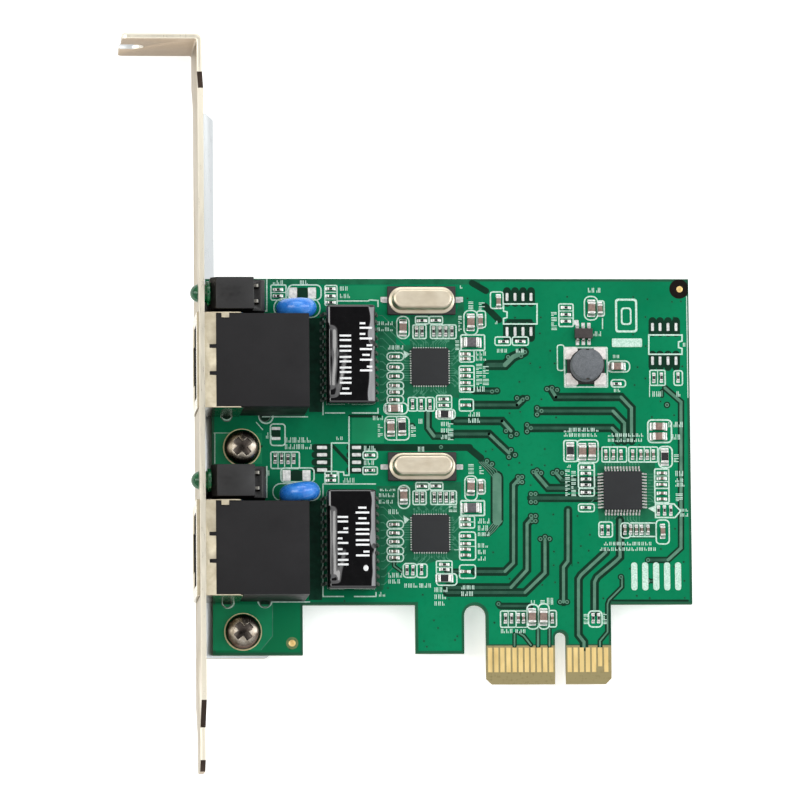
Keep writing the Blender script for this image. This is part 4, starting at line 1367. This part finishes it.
# plain strokes of white ink where the modules carry print, and a locating spot on the lower one
print_on_modules = Heap()
ink = potted("magnetics_1_potted", "magnetics_1_body", 1, ((-2.55, 0.9), (-0.55, 8.6)), (2.2, 13.0), 9.3)
(x0, y0, z0), (x1, y1, z1) = card_box("magnetics_1_body")
bars(20.63, 33.76, 22.52, 45.57, ink)
bars(23.93, 37.53, 25.96, 46.56, ink)
ink = potted("magnetics_2_potted", "magnetics_2_body", 2, ((-2.35, 0.8), (-1.15, 6.8)), (1.6, 13.6), 6.4)
(x0, y0, z0), (x1, y1, z1) = card_box("magnetics_2_body")
bars(20.08, 5.8, 21.79, 15.92, ink)
bars(23.03, 7.26, 25.23, 17.06, ink)
spot = (24.64, 5.46)
for k in range(9):
    a = math.pi * (k + 0.5) / 9
    w_ = 0.42 * math.sin(a)
    yy = spot[1] + 0.42 * math.cos(a)
    ink(spot[0] - w_, spot[0] + w_, yy - 0.085, yy + 0.085)
make("module_print", print_on_modules, ink_white, smooth=40)

# ------------------------------------------------------------------ chips
def square_chip(node, name, dimple, mark_turn=0):
    (x0, y0, z0), (x1, y1, z1) = card_box(node)
    h = Heap()
    h.block(x0 + 0.02, x1 - 0.02, y0 + 0.02, y1 - 0.02, z0, z1, r=0.10, e=0.06, n=3, steps=2)
    make(name, h, chip, (node,), smooth=40)
    return x0, y0, z0, x1, y1, z1


lands, mlands, clands, marks = Heap(), Heap(), Heap(), Heap()
for k in (1, 2):
    x0, y0, z0, x1, y1, z1 = square_chip("transceiver_chip_%d" % k, "transceiver_%d_body" % k, None)
    n, pitch = 14, 0.40
    for i in range(n):
        t = (i - (n - 1) / 2) * pitch
        cx_, cy_ = (x0 + x1) / 2, (y0 + y1) / 2
        for sx in (-1, 1):
            xa_ = x1 if sx > 0 else x0
            lands.block(min(xa_ - sx * 0.25, xa_ + sx * 0.22), max(xa_ - sx * 0.25, xa_ + sx * 0.22), cy_ + t - 0.105, cy_ + t + 0.105, 0.0, 0.05, r=0.03, e=0.015)
            lands.block(min(xa_ - sx * 0.05, xa_ + sx * 0.012), max(xa_ - sx * 0.05, xa_ + sx * 0.012), cy_ + t - 0.10, cy_ + t + 0.10, 0.02, 0.24, r=0.01, e=0.01)
            ya_ = y1 if sx > 0 else y0
            lands.block(cx_ + t - 0.105, cx_ + t + 0.105, min(ya_ - sx * 0.25, ya_ + sx * 0.22), max(ya_ - sx * 0.25, ya_ + sx * 0.22), 0.0, 0.05, r=0.03, e=0.015)
            lands.block(cx_ + t - 0.10, cx_ + t + 0.10, min(ya_ - sx * 0.05, ya_ + sx * 0.012), max(ya_ - sx * 0.05, ya_ + sx * 0.012), 0.02, 0.24, r=0.01, e=0.01)
    marks.annulus(x0 + 0.75, y1 - 0.75, 0.22, 0.17, z1 - 0.02, z1 - 0.0005, 24)
x0, y0, z0, x1, y1, z1 = square_chip("controller_chip", "controller_body", None)
marks.annulus(x0 + 0.8, y0 + 0.8, 0.3, 0.24, z1 - 0.02, z1 - 0.0005, 24)
(cx0, cy0, cz0), (cx1, cy1, cz1) = card_box("controller_leads")
for i in range(12):
    t = (i - 5.5) * 0.5
    mx, my = (x0 + x1) / 2, (y0 + y1) / 2
    clands.block(cx0 - 0.05, cx0 + 0.62, my + t - 0.14, my + t + 0.14, 0.0, 0.055, r=0.05, e=0.02)
    clands.block(cx1 - 0.62, cx1 + 0.05, my + t - 0.14, my + t + 0.14, 0.0, 0.055, r=0.05, e=0.02)
    clands.block(mx + t - 0.14, mx + t + 0.14, cy0 - 0.05, cy0 + 0.62, 0.0, 0.055, r=0.05, e=0.02)
    clands.block(mx + t - 0.14, mx + t + 0.14, cy1 - 0.62, cy1 + 0.05, 0.0, 0.055, r=0.05, e=0.02)
(x0, y0, z0), (x1, y1, z1) = card_box("regulator_chip")
h = Heap()
h.block(x0, x1, y0, y1, z0, z1, r=0.08, e=0.07, n=3, steps=2)
make("regulator_body", h, reg_mat, ("regulator_chip",), smooth=40)
(rx0, ry0, rz0), (rx1, ry1, rz1) = card_box("regulator_leads")
for i in range(3):
    t = (rx0 + rx1) / 2 + (i - 1) * 0.95
    lands.block(t - 0.28, t + 0.28, ry0 - 0.45, ry0 + 0.45, 0.0, 0.06, r=0.06, e=0.02)
    lands.block(t - 0.28, t + 0.28, ry1 - 0.45, ry1 + 0.45, 0.0, 0.06, r=0.06, e=0.02)
for k in (1, 2):
    (mx0, my0, mz0), (mx1, my1, mz1) = card_box("magnetics_%d_pins" % k)
    cy_ = (my0 + my1) / 2
    for i in range(12):
        y = cy_ + (i - 5.5) * 1.27
        mlands.block(mx0 - 0.12, mx0 + 0.60, y - 0.26, y + 0.26, 0.0, 0.055, r=0.08, e=0.02)
        mlands.block(mx1 - 0.60, mx1 + 0.12, y - 0.26, y + 0.26, 0.0, 0.055, r=0.08, e=0.02)
make("chip_lands", lands, tin, smooth=40)
make("controller_lands", clands, tin_dull, smooth=40)
make("module_lands", mlands, pin_dark, smooth=40)
make("chip_dimples", marks, chip_mark, smooth=40)

# ------------------------------------------------------------------ chip parts: body, wrapped ends, solder
def chip_parts(kind, nodes_, table, L, W, H, body_mat, end, top_glaze=False, wrap=True):
    body, cap, fil, top_ = Heap(), Heap(), Heap(), Heap()
    for k, (x, y, o) in enumerate(table):
        j = random.Random(hash((round(x * 100), round(y * 100))) & 0xffff)
        turn = (0 if o == "h" else 90) + j.uniform(-1.8, 1.8)
        x += j.uniform(-0.03, 0.03)
        y += j.uniform(-0.03, 0.03)
        for h_ in (body, cap, fil, top_):
            h_.place(x, y, 0.0, turn)
        l, w = L / 2 - 0.02, W / 2 - 0.02
        zb = 0.055
        if top_glaze:
            body.block(-l + 0.03, l - 0.03, -w + 0.02, w - 0.02, zb + 0.01, H - 0.05, r=0.02, e=0.02)
            top_.block(-l + end * 0.92, l - end * 0.92, -w + 0.05, w - 0.05, H - 0.06, H - 0.012, r=0.03, e=0.02)
        else:
            e = min(0.09, W * 0.09)
            body.block(-l + 0.06, l - 0.06, -w + 0.025, w - 0.025, zb + 0.02, H - 0.02, r=e, e=e, n=2, steps=2)
        for s in (-1, 1):
            a, b = sorted((s * l, s * (l - end)))
            e = min(0.08, W * 0.10)
            cap.block(a, b, -w, w, zb, H - 0.002, r=e, e=e, n=2, steps=2)
            # solder: a concave fillet out to the land
            reach = min(0.42, 0.34 * L)
            prof = []
            for i in range(6):
                t = i / 5
                prof.append((l - 0.04 + reach * t, 0.05 + (H * 0.72) * (1 - t) ** 2.3))
            loops = []
            for px_, pz_ in prof:
                t = (px_ - l + 0.04) / reach
                ww = w * (0.98 - 0.05 * t)
                loops.append((px_, ww, pz_))
            verts, faces = [], []
            for px_, ww, pz_ in loops:
                verts += [(s * px_, -ww, 0.0), (s * px_, -ww, pz_), (s * px_, -ww * 0.4, pz_ * 1.04), (s * px_, ww * 0.4, pz_ * 1.04), (s * px_, ww, pz_), (s * px_, ww, 0.0)]
            for i in range(len(loops) - 1):
                for q in range(6):
                    a0, a1 = i * 6 + q, i * 6 + (q + 1) % 6
                    f = (a0, a1, a1 + 6, a0 + 6)
                    faces.append(f if s > 0 else f[::-1])
            n = (len(loops) - 1) * 6
            f0, f1 = tuple(range(6)), tuple(range(n, n + 6))
            faces += [f0[::-1], f1] if s > 0 else [f0, f1[::-1]]
            fil.add(verts, faces)
            a, b = sorted((s * (l - 0.1), s * (l + reach + 0.04)))
            fil.block(a, b, -w - 0.04, w + 0.04, 0.0, 0.06, r=0.06, e=0.02, n=2)
    make(kind + "_bodies", body, body_mat, nodes_, smooth=40)
    make(kind + "_ends", cap, ends, smooth=40)
    make(kind + "_solder", fil, tin, smooth=50)
    if top_glaze:
        make(kind + "_glaze", top_, glaze, smooth=40)


chip_parts("capacitors_large", ("capacitors_large",), CAP_LARGE, 2.0, 1.25, 0.95, ceramic, 0.42)
chip_parts("capacitors_medium", ("capacitors_medium",), CAP_MEDIUM, 1.6, 0.8, 0.8, ceramic, 0.34)
chip_parts("capacitors_small", ("capacitors_small",), CAP_SMALL, 1.0, 0.5, 0.5, ceramic_small, 0.24)
chip_parts("resistors_small", ("resistors_small",), RES_SMALL, 1.0, 0.5, 0.35, alumina, 0.22, top_glaze=True)
chip_parts("resistors_large", ("resistors_large",), RES_LARGE, 2.05, 1.28, 0.55, alumina, 0.38, top_glaze=True)
chip_parts("ferrite_beads", ("ferrite_beads",), BEADS, 2.5, 1.6, 1.1, bead, 0.50)

# ------------------------------------------------------------------ inductor's lands
(tx0, ty0, tz0), (tx1, ty1, tz1) = card_box("inductor_terminals")
h = Heap()
for a, b in ((tx0 - 0.22, tx0 + 1.75), (tx1 - 1.75, tx1 + 0.22)):
    for c, d_ in ((ty0 - 0.22, ty0 + 1.75), (ty1 - 1.75, ty1 + 0.22)):
        h.block(a, b, c, d_, 0.0, 0.06, r=0.15, e=0.02, n=3)
make("inductor_lands", h, tin, smooth=40)
# the winding's turns, each a ring of enamelled wire between the drum's flanges
(wx0, wy0, wz0), (wx1, wy1, wz1) = card_box("inductor_winding")
h = Heap()
wcx, wcy = (wx0 + wx1) / 2, (wy0 + wy1) / 2
rw = 0.14
nturn = int((wz1 - wz0) / (2 * rw))
for k in range(nturn):
    z = wz0 + rw + k * (wz1 - wz0 - 2 * rw) / (nturn - 1)
    R0 = (wx1 - wx0) / 2 - rw
    verts, faces = [], []
    N, Mn = 56, 8
    for i in range(N):
        a = 2 * math.pi * i / N
        for q in range(Mn):
            b = 2 * math.pi * q / Mn
            rr_ = R0 + rw * math.cos(b)
            verts.append((wcx + rr_ * math.cos(a), wcy + rr_ * math.sin(a), z + rw * math.sin(b)))
    for i in range(N):
        for q in range(Mn):
            faces.append((i * Mn + q, ((i + 1) % N) * Mn + q, ((i + 1) % N) * Mn + (q + 1) % Mn, i * Mn + (q + 1) % Mn))
    h.add(verts, faces)
make("inductor_turns", h, enamel, smooth=60)

# ------------------------------------------------------------------ inside the clear lamp bodies: the lead frame
h = Heap()
for k in (1, 2):
    (x0, y0, z0), (x1, y1, z1) = card_box("led_%d_lens" % k)
    cy_, cz_ = (y0 + y1) / 2, (z0 + z1) / 2
    h.block(x1 - 1.35, x1 - 0.02, cy_ - 0.95, cy_ - 0.30, cz_ - 0.16, cz_ + 0.16, r=0.05, e=0.03)
    h.block(x1 - 1.75, x1 - 0.02, cy_ + 0.05, cy_ + 0.85, cz_ - 0.16, cz_ + 0.16, r=0.05, e=0.03)
make("lamp_lead_frames", h, wire, smooth=40)
